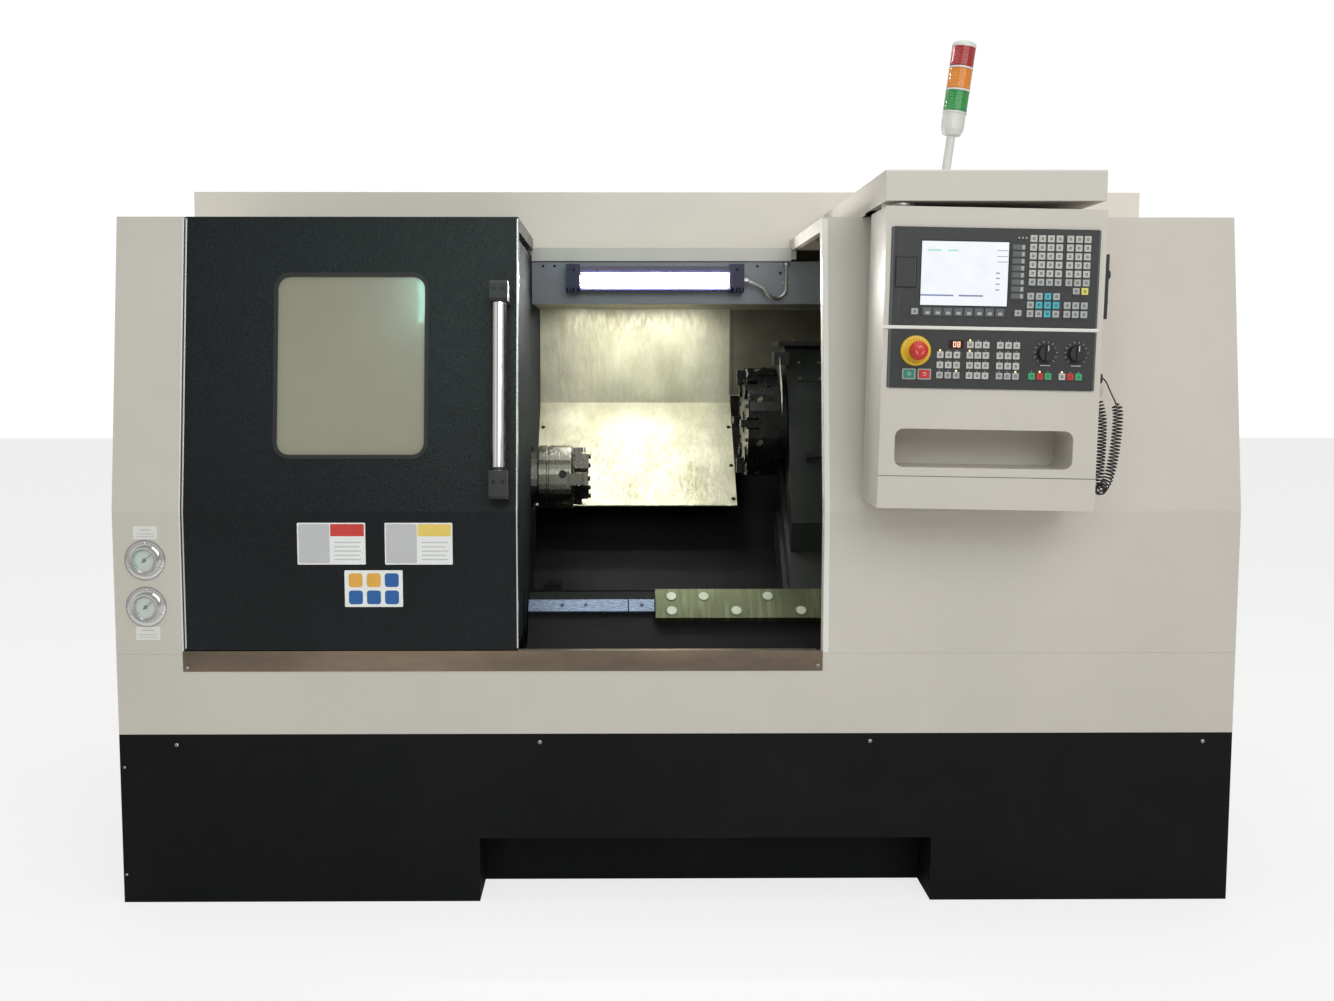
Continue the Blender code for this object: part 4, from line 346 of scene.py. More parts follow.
# pale sheet colour for the housing's edge: painted highlight
bladePaintedHighlight = finish("bladePaintedHighlight", (0.60, 0.60, 0.50), drift=0.06, driftScale=30, rough=(0.25, 0.4), grain=0.1)
blueRail = finish("blueRail", (0.19, 0.245, 0.33), drift=0.15, driftScale=9, rough=(0.2, 0.35), grain=0.2,
                  grainScale=90, stretch=(1, 20, 20), metallic=0.7)
blackPlastic = finish("blackPlastic", (0.014, 0.014, 0.015), drift=0.1, driftScale=30, rough=(0.38, 0.5),
                      grain=0.25, grainScale=1400)
glossBlack = finish("glossBlack", (0.012, 0.012, 0.013), drift=0.08, driftScale=30, rough=(0.12, 0.2), grain=0.04)
blackRubber = finish("blackRubber", (0.012, 0.012, 0.012), drift=0.1, driftScale=60, rough=(0.5, 0.65), grain=0.3,
                     grainScale=1500)
panelGrey = finish("panelGrey", (0.026, 0.027, 0.028), drift=0.03, driftScale=8, rough=(0.42, 0.52), grain=0.15,
                   grainScale=1500)
keyGrey = finish("keyGrey", (0.40, 0.41, 0.40), **keyCapLook, grainScale=1800)
keyDark = finish("keyDark", (0.10, 0.105, 0.11), **keyCapLook, grainScale=1800)
keyLight = finish("keyLight", (0.52, 0.505, 0.48), **keyCapLook, grainScale=1800)
keySoft = finish("keySoft", (0.115, 0.118, 0.125), **keyCapLook)
yellowKey = finish("yellowKey", (0.72, 0.66, 0.13), **keyCapLook)
markDark = finish("markDark", (0.05, 0.05, 0.055), **printLook)
markLight = finish("markLight", (0.66, 0.67, 0.66), **printLook)
whitePlate = finish("whitePlate", (0.86, 0.86, 0.85), drift=0.02, driftScale=12, rough=(0.3, 0.4), grain=0.05)
redPlate = finish("redPlate", (0.62, 0.05, 0.04), **plateLook)
yellowPlate = finish("yellowPlate", (0.85, 0.62, 0.14), **plateLook)
labelGrey = finish("labelGrey", (0.56, 0.55, 0.57), drift=0.02, driftScale=40, rough=(0.3, 0.4), grain=0.05)
labelBlue = finish("labelBlue", (0.02, 0.12, 0.38), drift=0.03, driftScale=40, rough=(0.3, 0.4), grain=0.05)
labelOrange = finish("labelOrange", (0.80, 0.42, 0.07), drift=0.03, driftScale=40, rough=(0.3, 0.4), grain=0.05)
redPlastic = finish("redPlastic", (0.60, 0.035, 0.025), drift=0.05, driftScale=25, rough=(0.22, 0.34), grain=0.05)
yellowPlastic = finish("yellowPlastic", (0.78, 0.50, 0.02), drift=0.05, driftScale=25, rough=(0.3, 0.42),
                       grain=0.06)
greenPlastic = finish("greenPlastic", (0.03, 0.24, 0.16), drift=0.05, driftScale=25, rough=(0.3, 0.4), grain=0.05)
greenKey = finish("greenKey", (0.05, 0.40, 0.16), drift=0.04, driftScale=25, rough=(0.3, 0.4), grain=0.05)
cyanKey = finish("cyanKey", (0.06, 0.42, 0.50), drift=0.04, driftScale=25, rough=(0.35, 0.45), grain=0.05)
blueEnamel = finish("blueEnamel", (0.020, 0.021, 0.060), drift=0.1, driftScale=15, rough=(0.3, 0.42), grain=0.03)
lampPanel = finish("lampPanel", (0.20, 0.21, 0.235), drift=0.06, driftScale=6, rough=(0.3, 0.45), grain=0.2,
                   grainScale=90, stretch=(1, 20, 20), metallic=0.5)
ivoryPlastic = finish("ivoryPlastic", (0.74, 0.75, 0.72), drift=0.03, driftScale=20, rough=(0.3, 0.4), grain=0.05)
dialFace = finish("dialFace", (0.62, 0.68, 0.66), drift=0.03, driftScale=40, rough=(0.35, 0.45), grain=0.02)
gaugeGlass = finish("gaugeGlass", (0.9, 0.92, 0.92), drift=0.01, rough=(0.04, 0.06), grain=0.0, Alpha=0.12)
windowPane = finish("windowPane", (0.45, 0.43, 0.33), drift=0.05, driftScale=2.2, rough=(0.10, 0.18), grain=0.02,
                    grainScale=300, Alpha=0.62, Coat_Weight=0.4)
lensLook = {"rough": (0.12, 0.2), "rings": 95, "ringDepth": 0.0016, "shade": 0.72}


def lensMaterial(name, color, glow):
    made = finish(name, color, drift=0.1, driftScale=35, rough=lensLook["rough"], grain=0.0, Coat_Weight=0.6,
                  Transmission_Weight=0.25)
    tree = made.node_tree
    shader = tree.nodes["Principled BSDF"]
    rings = tree.nodes.new("ShaderNodeTexWave")  # moulded rings inside the lens
    rings.bands_direction = "Z"
    rings.inputs["Scale"].default_value = lensLook["rings"]
    tree.links.new(mappedCoordinates(tree, (1, 1, 1)), rings.inputs["Vector"])
    addBump(tree, shader, rings.outputs["Fac"], 0.8, lensLook["ringDepth"])
    tint = colourRamp(tree, rings.outputs["Fac"], 0.2, 0.9, (tuple(c * lensLook["shade"] for c in color), color))
    tree.links.new(tint, shader.inputs["Base Color"])
    tree.links.new(tint, shader.inputs["Emission Color"])
    shader.inputs["Emission Strength"].default_value = glow
    return made


greenLens = lensMaterial("greenLens", (0.015, 0.42, 0.07), 0.10)
amberLens = lensMaterial("amberLens", (0.85, 0.30, 0.008), 0.22)
redLens = lensMaterial("redLens", (0.55, 0.012, 0.014), 0.12)
tubeGlow = glowing("tubeGlow", (1.0, 1.0, 0.97), 150)
screenGlow = glowing("screenGlow", (0.90, 0.93, 0.98), 0.95)
screenGreen = glowing("screenGreen", (0.40, 0.84, 0.66), 0.85)
screenBlue = glowing("screenBlue", (0.19, 0.24, 0.46), 0.85)
screenGrey = glowing("screenGrey", (0.34, 0.36, 0.42), 0.85)
ledAmber = glowing("ledAmber", (1.0, 0.72, 0.3), 1.8)
segmentRed = glowing("segmentRed", (1.0, 0.50, 0.36), 2.2)
segmentDark = finish("segmentDark", (0.045, 0.004, 0.006), drift=0.1, driftScale=60, rough=(0.1, 0.16), grain=0.02)
# silver trim; on the door edges and window rim it is a painted highlight
silverTrimAndHighlight = finish("silverTrimAndHighlight", (0.70, 0.71, 0.70), drift=0.03, driftScale=6, rough=(0.22, 0.34), grain=0.12,
                    grainScale=80, stretch=(1, 30, 30), metallic=0.6)

nodeFinish = {
    creamPaint: ("left_end_cover", "right_end_cover", "lower_cover", "rear_cover", "electrical_cabinet",
                 "cabinet_door", "pendant_hood", "pendant_box", "pendant_shelf"),
    doorPaint: ("door_panel",),
    innerPaint: ("headstock_cover",),
    roofCreamPaintedLight: ("roof_cover",),
    gaugeChromePaintedReflection: ("gauge_case_upper", "gauge_case_lower"),
    basePaint: ("base_stand", "coolant_tank"),
    sillSteel: ("sill_strip",),
    railSteel: ("door_rail",),
    brushedSteel: ("lamp_conduit", "motor_pulley", "ball_screw"),
    turnedSteel: ("spindle_shaft", "chuck_body", "chuck_jaw_1", "chuck_jaw_2", "chuck_jaw_3"),
    wallSteel: ("back_wall_sheet",),
    chuteSteel: ("chip_chute",),
    waySteel: ("way_plate",),
    chromePlate: ("door_handle_tube", "key_switch"),
    darkCasting: ("turret_housing", "saddle", "cross_slide", "telescopic_cover", "headstock_casting",
                  "spindle_motor"),
    bedCasting: ("bed_casting",),
    blackSteel: ("turret_disc",),
    blackPlastic: ("handle_bracket_upper", "handle_bracket_lower", "gauge_needle_upper", "gauge_needle_lower",
                   "feed_override_knob", "spindle_override_knob", "side_knob"),
    blackRubber: ("drive_belt", "coil_cord"),
    panelGrey: ("display_unit", "control_panel"),
    windowPane: ("door_glass",),
    tubeGlow: ("lamp_tube",),
    blueEnamel: ("lamp_housing",),
    redPlastic: ("emergency_stop", "red_button"),
    greenPlastic: ("green_button",),
    redLens: ("signal_red_lens",),
    amberLens: ("signal_amber_lens",),
    greenLens: ("signal_green_lens",),
    ivoryPlastic: ("signal_pole",),
}
for material, names in nodeFinish.items():
    for name in names:
        mesh = nodes[name].data
        mesh.materials.clear()
        mesh.materials.append(material)

print("studio")
studio = {"floorSize": 40.0, "floorColour": (0.80, 0.80, 0.79), "floorKeep": 0.72, "whiteSeen": 1.05,
          "worldColour": (1.0, 0.98, 0.955), "worldStrength": 0.46}


def whiteToTheEye(tree, surface, output, keep):
    # what the camera sees of the surface turns white by the share keep, so that below 1 its shadow stays
    path = tree.nodes.new("ShaderNodeLightPath")
    glow = tree.nodes.new("ShaderNodeEmission")
    glow.inputs["Strength"].default_value = studio["whiteSeen"]
    share = tree.nodes.new("ShaderNodeMath")
    share.operation = "MULTIPLY"
    share.inputs[1].default_value = keep
    tree.links.new(path.outputs["Is Camera Ray"], share.inputs[0])
    mix = tree.nodes.new("ShaderNodeMixShader")
    tree.links.new(share.outputs[0], mix.inputs["Fac"])
    tree.links.new(surface, mix.inputs[1])
    tree.links.new(glow.outputs[0], mix.inputs[2])
    tree.links.new(mix.outputs[0], output.inputs["Surface"])


floorMaterial = bpy.data.materials.new("paleFloor")
floorMaterial.use_nodes = True
floorTree = floorMaterial.node_tree
floorShader = floorTree.nodes["Principled BSDF"]
floorShader.inputs["Base Color"].default_value = (*studio["floorColour"], 1)
floorShader.inputs["Roughness"].default_value = 0.7
whiteToTheEye(floorTree, floorShader.outputs[0], floorTree.nodes["Material Output"], studio["floorKeep"])
floorMesh = bpy.data.meshes.new("floor")
bm = bmesh.new()
bmesh.ops.create_grid(bm, x_segments=1, y_segments=1, size=studio["floorSize"] / 2)
bm.to_mesh(floorMesh)
bm.free()
floorMesh.materials.append(floorMaterial)
floor = bpy.data.objects.new("floor", floorMesh)
bpy.context.scene.collection.objects.link(floor)

world = bpy.data.worlds.new("studioWorld")
bpy.context.scene.world = world
world.use_nodes = True
worldTree = world.node_tree
background = worldTree.nodes["Background"]
background.inputs["Color"].default_value = (*studio["worldColour"], 1)
background.inputs["Strength"].default_value = studio["worldStrength"]
seen = worldTree.nodes.new("ShaderNodeBackground")
seen.inputs["Color"].default_value = (1, 1, 1, 1)
seen.inputs["Strength"].default_value = studio["whiteSeen"]
worldPath = worldTree.nodes.new("ShaderNodeLightPath")
worldMix = worldTree.nodes.new("ShaderNodeMixShader")
worldTree.links.new(worldPath.outputs["Is Camera Ray"], worldMix.inputs["Fac"])
worldTree.links.new(background.outputs[0], worldMix.inputs[1])
worldTree.links.new(seen.outputs[0], worldMix.inputs[2])
worldTree.links.new(worldMix.outputs[0], worldTree.nodes["World Output"].inputs["Surface"])


def softLamp(name, place, target, size, power, colour=(1, 1, 1)):
    data = bpy.data.lights.new(name, "AREA")
    data.shape = "RECTANGLE"
    data.size, data.size_y = size
    data.energy = power
    data.color = colour
    lamp = bpy.data.objects.new(name, data)
    lamp.location = place
    lamp.rotation_euler = (Vector(target) - Vector(place)).to_track_quat("-Z", "Y").to_euler()
    bpy.context.scene.collection.objects.link(lamp)


softLamp("frontSoftbox", (1.6, -5.4, 3.6), (0.3, 0, 0.9), (4.0, 3.0), 118)
softLamp("leftSoftbox", (-4.6, -3.0, 3.2), (-0.6, 0, 0.9), (3.0, 3.0), 9)
softLamp("topSoftbox", (0.2, 0.2, 5.2), (0.2, 0.1, 1.5), (4.5, 3.0), 75)
softLamp("doorGlint", at(-0.955, -3.685, 2.70), at(-0.50, 0.07, 1.38), (0.34, 0.34), 9, (0.42, 1.0, 0.80))
curlyCurve.materials.append(blackRubber)


def joinShape(bm, part, slot=0, place=None):
    # puts a finished shape into a piece, with its material slot
    if place is not None:
        bmesh.ops.transform(part, matrix=place, verts=part.verts)
    bmesh.ops.recalc_face_normals(part, faces=part.faces)
    for face in part.faces:
        face.material_index = slot
    mesh = bpy.data.meshes.new("shape")
    part.to_mesh(mesh)
    part.free()
    bm.from_mesh(mesh)
    bpy.data.meshes.remove(mesh)


def addBox(bm, low, high, bevel=0.0, slot=0, place=None, segments=2):
    low, high = Vector(low), Vector(high)
    part = bmesh.new()
    bmesh.ops.create_cube(part, size=1.0)
    bmesh.ops.scale(part, vec=high - low, verts=part.verts)
    bmesh.ops.translate(part, vec=(low + high) / 2, verts=part.verts)
    if bevel:
        bmesh.ops.bevel(part, geom=part.edges[:], offset=bevel, segments=segments, affect="EDGES", profile=0.5,
                        material=-1)
    joinShape(bm, part, slot, place)


def addTurned(bm, profile, foot, axis, sides=32, slot=0, place=None):
    # profile is (radius, height) pairs along the axis from the foot
    part = bmesh.new()
    points = [part.verts.new((radius, 0, height)) for radius, height in profile]
    edges = [part.edges.new(pair) for pair in zip(points, points[1:])]
    bmesh.ops.spin(part, geom=points + edges, cent=(0, 0, 0), axis=(0, 0, 1), angle=2 * math.pi, steps=sides,
                   use_merge=True)
    bmesh.ops.remove_doubles(part, verts=part.verts, dist=1e-6)
    turn = Vector(axis).to_track_quat("Z", "Y").to_matrix().to_4x4()
    bmesh.ops.transform(part, matrix=Matrix.Translation(foot) @ turn, verts=part.verts)
    joinShape(bm, part, slot, place)


def addOutline(bm, points, axis, low, high, bevel=0.0, slot=0, place=None):
    # points are pairs in the plane across the axis, in the order X, Y, Z without the axis
    spots = {"X": lambda a, b: (low, a, b), "Y": lambda a, b: (a, low, b), "Z": lambda a, b: (a, b, low)}[axis]
    part = bmesh.new()
    face = part.faces.new([part.verts.new(spots(a, b)) for a, b in points])
    grown = bmesh.ops.extrude_face_region(part, geom=[face])
    raised = [item for item in grown["geom"] if isinstance(item, bmesh.types.BMVert)]
    bmesh.ops.translate(part, vec=[high - low if name == axis else 0 for name in "XYZ"], verts=raised)
    if bevel:
        bmesh.ops.recalc_face_normals(part, faces=part.faces)
        bmesh.ops.bevel(part, geom=part.edges[:], offset=bevel, segments=2, affect="EDGES", profile=0.5,
                        material=-1)
    joinShape(bm, part, slot, place)


def roundedPoints(left, low, right, high, radius, steps=6):
    points = []
    for x, z, start in ((right - radius, high - radius, 0), (left + radius, high - radius, 90),
                        (left + radius, low + radius, 180), (right - radius, low + radius, 270)):
        for i in range(steps + 1):
            angle = math.radians(start + 90 * i / steps)
            points.append((x + radius * math.cos(angle), z + radius * math.sin(angle)))
    return points


def addFrame(bm, box, width, axis, low, high, radius=0.0, slot=0, place=None):
    # a flat frame: the outer and inner outline, bridged and given its thickness
    left, bottom, right, top = box
    part = bmesh.new()
    rings = []
    for inset in (0.0, width):
        points = roundedPoints(left + inset, bottom + inset, right - inset, top - inset,
                               max(radius - inset, 0.0004))
        verts = [part.verts.new((a, low, b) if axis == "Y" else (low, a, b)) for a, b in points]
        rings += [part.edges.new((a, b)) for a, b in zip(verts, verts[1:] + verts[:1])]
    bmesh.ops.bridge_loops(part, edges=rings)
    grown = bmesh.ops.extrude_face_region(part, geom=part.faces[:])
    raised = [item for item in grown["geom"] if isinstance(item, bmesh.types.BMVert)]
    bmesh.ops.translate(part, vec=(0, high - low, 0) if axis == "Y" else (high - low, 0, 0), verts=raised)
    joinShape(bm, part, slot, place)


def addCapScrew(bm, foot, axis, radius, slot=0, place=None):
    # a socket head: a rounded cap with a six-sided hole
    height = radius * 0.9
    addTurned(bm, [(0.0, height * 0.45), (radius * 0.5, height * 0.45), (radius * 0.52, height),
                   (radius * 0.86, height), (radius, height * 0.82), (radius, 0.0)], foot, axis, 18, slot, place)


def addPanScrew(bm, foot, axis, radius, slot=0, place=None, turn=0.3):
    # a domed head with a crossed slot
    height = radius * 0.55
    addTurned(bm, [(0.0, height), (radius * 0.4, height * 0.95), (radius * 0.8, height * 0.62),
                   (radius, height * 0.1), (radius, 0.0)], foot, axis, 18, slot, place)
    flat = Vector(axis).to_track_quat("Z", "Y").to_matrix().to_4x4() @ Matrix.Rotation(turn, 4, "Z")
    for quarter in range(2):
        mark = Matrix.Translation(foot) @ flat @ Matrix.Rotation(quarter * math.pi / 2, 4, "Z")
        if place is not None:
            mark = place @ mark
        addBox(bm, (-radius * 0.55, -radius * 0.11, height * 0.8), (radius * 0.55, radius * 0.11, height * 1.03),
               slot=slot + 1, place=mark)


frontWay, backWay, rightWay, upWay = (0, -1, 0), (0, 1, 0), (1, 0, 0), (0, 0, 1)

print("pendant")
keyLook = {"pitch": 0.0178, "side": 0.0141, "rise": 0.0026, "bevel": 0.0009, "mark": 0.0046, "markRise": 0.0002,
           "inner": 0.0005, "control": 0.0137}
keySlots = (keyLight, keyGrey, keyDark, cyanKey, yellowKey, greenKey, redPlastic, markDark, markLight, ledAmber,
            keySoft)
lightCap, greyCap, darkCap, cyanCap, yellowCap, greenCap, redCap, darkMark, lightMark, litMark, softCap = range(11)


def panelAt(u, v, base, depth):
    return at(pendant["panelLeft"] + u, depth, base + v)


def addPanelBox(bm, base, left, low, right, high, front, back, bevel=0.0, slot=0):
    addBox(bm, panelAt(left, low, base, front), panelAt(right, high, base, back), bevel, slot, pendantPlace)


def addKey(bm, u, v, base, cap, mark=None, wide=None, tall=None, extra=0.0):
    # u, v is the key's middle on its panel
    wide, tall = (wide or keyLook["side"]) / 2, (tall or keyLook["side"]) / 2
    face = pendant["face"] - extra
    top = face - keyLook["rise"]
    addPanelBox(bm, base, u - wide, v - tall, u + wide, v + tall, top, face, keyLook["bevel"], cap)
    if mark is not None:  # a plain ring in place of the legend
        reach, rise = keyLook["mark"] / 2, keyLook["markRise"]
        for across, up, lift, sink, slot in ((reach, reach * 1.1, rise, 0.0004, mark),
                                             (reach * 0.45, reach * 0.5, rise * 2, 0, cap)):
            addPanelBox(bm, base, u - across, v - up, u + across, v + up, top - lift, top + sink, 0, slot)


def addKeys(bm, base, left, low, pitch, rise, columns, rows, cap):
    for row in rows:
        for column in columns:
            addKey(bm, left + pitch * column, low + rise * row, base, cap, darkMark)


typing = {"blocks": ((0.2857, 4), (0.3611, 3)), "low": 0.0922, "rise": 0.0176, "rows": 6}
softKeys = {"count": 8, "low": 0.0628, "rise": 0.0142, "left": 0.0722, "pitch": 0.0214,
            "beside": ((0.2560, 0.0275, 0.0118, darkCap, 0), (0.2532, 0.0165, 0.0092, softCap, 1),
                       (0.2650, 0.0062, 0.0092, greyCap, 1)),
            "below": ((0.0, 0.0283, 0.0190, 0.0170, darkCap, 0), (0.0006, 0.0275, 0.0138, 0.0130, softCap, 1),
                      (0.0006, 0.0258, 0.0092, 0.0060, greyCap, 1.6))}
cursor = {"left": 0.2840, "low": 0.0279, "pitch": 0.0177, "cross": ((1, 1), (2, 1), (3, 1), (2, 0), (2, 2)),
          "sideLeft": 0.3600, "sidePitch": 0.0175}
base = pendant["displayLow"]
bm = bmesh.new()
for row in range(typing["rows"]):
    for left, columns in typing["blocks"]:
        addKeys(bm, base, left, typing["low"], keyLook["pitch"], typing["rise"], range(columns), [row],
                lightCap if row else greyCap)
for row in range(softKeys["count"]):  # each soft key is a cap and a lens on a dark seat
    for u, wide, tall, cap, lift in softKeys["beside"]:
        addKey(bm, u, softKeys["low"] + softKeys["rise"] * row, base, cap, None, wide, tall,
               keyLook["inner"] * lift)
for column in range(softKeys["count"]):
    for shift, v, wide, tall, cap, lift in softKeys["below"]:
        addKey(bm, softKeys["left"] + softKeys["pitch"] * column + shift, v, base, cap, None, wide, tall,
               keyLook["inner"] * lift)
for u, v, tall, cap in ((0.0468, 0.0284, 0.0125, greyCap), (0.2595, 0.0284, 0.0125, greyCap),
                        (0.3772, 0.0752, 0.0130, greyCap), (0.3950, 0.0752, 0.0141, yellowCap)):
    addKey(bm, u, v, base, cap, darkMark, None, tall)
for column in range(4):
    for row in range(3):
        addKeys(bm, base, cursor["left"], cursor["low"], cursor["pitch"], cursor["pitch"], [column], [row],
                cyanCap if (column, row) in cursor["cross"] else greyCap)
addKeys(bm, base, cursor["sideLeft"], cursor["low"], cursor["sidePitch"], cursor["pitch"], range(3), range(2),
        greyCap)
toPiece("displayKeys", bm, "pendant", *keySlots)

base = pendant["controlLow"]
control = {"rows": (0.0275, 0.0483, 0.0691, 0.0905), "lightUp": 0.0092, "startRow": 0.0285, "startPitch": 0.0170,
           "blocks": ((0.1028, 0.0172, 3), (0.1640, 0.0164, 4), (0.2258, 0.0170, 4)),
           "lit": ((0, 2, 0), (0, 0, 2), (1, 3, 0), (1, 2, 0), (2, 0, 2))}
bm = bmesh.new()


def addControlKey(bm, u, v, cap, lit):
    # a key with its small lamp over it, wider and brighter where it is lit
    addKey(bm, u, v, base, cap, darkMark, keyLook["control"], keyLook["control"])
    foot = panelAt(u, v + control["lightUp"], base, pendant["face"])
    size = 0.0021 if lit else 0.0010
    addTurned(bm, [(0.0, 0.0012), (size * 0.7, 0.0010), (size, 0.0)], foot, frontWay, 10,
              litMark if lit else lightMark, pendantPlace)


for block, (left, pitch, rows) in enumerate(control["blocks"]):
    for row in range(rows):
        for column in range(3):
            cap = greyCap if row == 0 and block != 1 else lightCap
            addControlKey(bm, left + pitch * column, control["rows"][row], cap,
                          (block, row, column) in control["lit"])
for left, caps, litCap in ((0.2930, (greenCap, redCap, greenCap), redCap),
                           (0.3560, (lightCap, redCap, greenCap), lightCap)):
    for column, cap in enumerate(caps):
        addControlKey(bm, left + control["startPitch"] * column, control["startRow"], cap, cap == litCap)
toPiece("controlKeys", bm, "pendant", *keySlots)

segments = {"u": 0.1355, "v": 0.0908, "wide": 0.030, "tall": 0.0165, "digit": 0.0060, "digitTall": 0.0110,
            "bar": 0.0014, "first": -0.0065, "pitch": 0.0085}
bm = bmesh.new()
face = pendant["face"]
halfWide, halfTall = segments["wide"] / 2, segments["tall"] / 2
addPanelBox(bm, base, segments["u"] - halfWide, segments["v"] - halfTall, segments["u"] + halfWide,
            segments["v"] + halfTall, face - 0.0012, face, 0.0006)
for digit, lit in enumerate(((1, 1, 1, 1, 1, 1, 0), (1, 1, 1, 1, 1, 1, 1))):
    left = segments["u"] + segments["first"] + digit * segments["pitch"]
    right, low = left + segments["digit"], segments["v"] - segments["digitTall"] / 2
    high, middle, bar = low + segments["digitTall"], segments["v"], segments["bar"]
    strokes = ((left, high - bar, right, high), (right - bar, middle, right, high),
               (right - bar, low, right, middle), (left, low, right, low + bar), (left, low, left + bar, middle),
               (left, middle, left + bar, high), (left, middle - bar / 2, right, middle + bar / 2))
    for on, (a, b, c, d) in zip(lit, strokes):
        if on:
            addPanelBox(bm, base, a, b, c, d, face - 0.0015, face - 0.0008, 0.0002, 1)
toPiece("numberDisplay", bm, "pendant", segmentDark, segmentRed)

stop = {"u": 0.052, "v": 0.0764, "ring": 0.0316, "hole": 0.0118, "proud": 0.0056, "marks": 26, "arrows": 3}
bm = bmesh.new()
centre = panelAt(stop["u"], stop["v"], base, face)
hole, ring, proud = stop["hole"], stop["ring"], stop["proud"]
addTurned(bm, [(hole, 0.004), (hole, proud - 0.0004), (hole + 0.0006, proud), (ring - 0.0022, proud),
               (ring - 0.0006, proud - 0.0009), (ring, proud - 0.0024), (ring, 0.0002)], centre, frontWay, 48, 0,
          pendantPlace)
for turn in around(centre, stop["marks"], place=pendantPlace):  # a plain ring of short marks
    addBox(bm, (-0.0005, -proud - 0.0002, 0.0222), (0.0005, -proud + 0.0004, 0.0268), 0, 1, turn)
toPiece("stopCollar", bm, "pendant", yellowPlastic, redPlastic, smooth=40)
bm = bmesh.new()
addTurned(bm, [(0.0, 0.0451), (0.006, 0.0451), (0.0108, 0.0445), (0.0118, 0.0436)], centre, frontWay, 32, 0,
          pendantPlace)
for turn in around(centre, stop["arrows"], place=pendantPlace):  # the turning arrows, plain bars
    addBox(bm, (-0.0035, -0.0452, 0.0068), (0.0035, -0.0446, 0.0080), 0.0002, 1, turn)
toPiece("stopFace", bm, "emergency_stop", redPlastic, markLight, smooth=40)

push = {"v": 0.0288, "wide": 0.0137, "tall": 0.0111, "rim": 0.0026, "proud": 0.0034}
for name, u, material, body in (("green", 0.0395, greenPlastic, "green_button"),
                                ("red", 0.0712, redPlastic, "red_button")):
    bm = bmesh.new()
    lowX, lowZ = pendant["panelLeft"] + u - push["wide"], base + push["v"] - push["tall"]
    addFrame(bm, (lowX, lowZ, lowX + 2 * push["wide"], lowZ + 2 * push["tall"]), push["rim"], "Y",
             yAt(face - push["proud"]), yAt(face), 0.0025, 0, pendantPlace)
    toPiece(name + "PushRim", bm, "pendant", keyGrey)
    bm = bmesh.new()
    foot = panelAt(u, push["v"], base, face)
    addTurned(bm, [(0.0, 0.0068), (0.0045, 0.0066), (0.0060, 0.0060), (0.0064, 0.0053)], foot, frontWay, 24, 0,
              pendantPlace)
    addTurned(bm, [(0.0026, 0.0066), (0.0026, 0.0071), (0.0034, 0.0071), (0.0034, 0.0064)], foot, frontWay, 20, 1,
              pendantPlace)
    toPiece(name + "PushFace", bm, body, material, markLight, smooth=40)

knob = {"v": 0.0764, "radius": 0.0168, "ribs": 30, "deep": 0.0157, "ticks": 12, "tickRing": 0.0222}
for name, u, body in (("feed", 0.3206, "feed_override_knob"), ("speed", 0.384, "spindle_override_knob")):
    centre = panelAt(u, knob["v"], base, face)
    bm = bmesh.new()
    for turn in around(centre, knob["ribs"], place=pendantPlace):
        addBox(bm, (-0.0009, -knob["deep"], knob["radius"] - 0.001), (0.0009, -0.0015, knob["radius"] + 0.0006),
               0.0003, 0, turn)
    tip = pendantPlace @ Matrix.Translation(centre)
    addBox(bm, (-0.0009, -0.0202, 0.004), (0.0009, -0.0196, 0.0158), 0.0002, 1, tip)
    addFrame(bm, (-0.0042, -0.0164, 0.0042, 0.0164), 0.0010, "Y", -0.0203, -0.0175, 0.002, 0, tip)
    toPiece(name + "KnobDetail", bm, body, blackPlastic, markLight)
    bm = bmesh.new()
    for i in range(knob["ticks"]):
        angle = math.radians(-135 + 270 * i / (knob["ticks"] - 1))
        long = 0.0032 if i % 2 else 0.0019
        addBox(bm, (-0.0004, -0.0004, knob["tickRing"] - 0.001), (0.0004, 0.0002, knob["tickRing"] + long), 0, 0,
               tip @ Matrix.Rotation(angle, 4, "Y"))
    addBox(bm, (-0.010, -0.0004, -0.0262), (0.010, 0.0002, -0.0246), 0, 0, tip)
    toPiece(name + "DialMarks", bm, "pendant", markLight)

screen = {"left": 0.0577, "right": 0.2367, "low": 0.0414, "high": 0.1722, "depth": -0.1930, "rise": 0.0002}
base = pendant["displayLow"]


def onScreen(bm, left, low, right, high, slot, layer=1):
    # a mark on the picture, given as shares of the screen
    wide, tall = screen["right"] - screen["left"], screen["high"] - screen["low"]
    addPanelBox(bm, base, screen["left"] + wide * left, screen["low"] + tall * low, screen["left"] + wide * right,
                screen["low"] + tall * high, screen["depth"] - screen["rise"] * layer, screen["depth"], 0, slot)


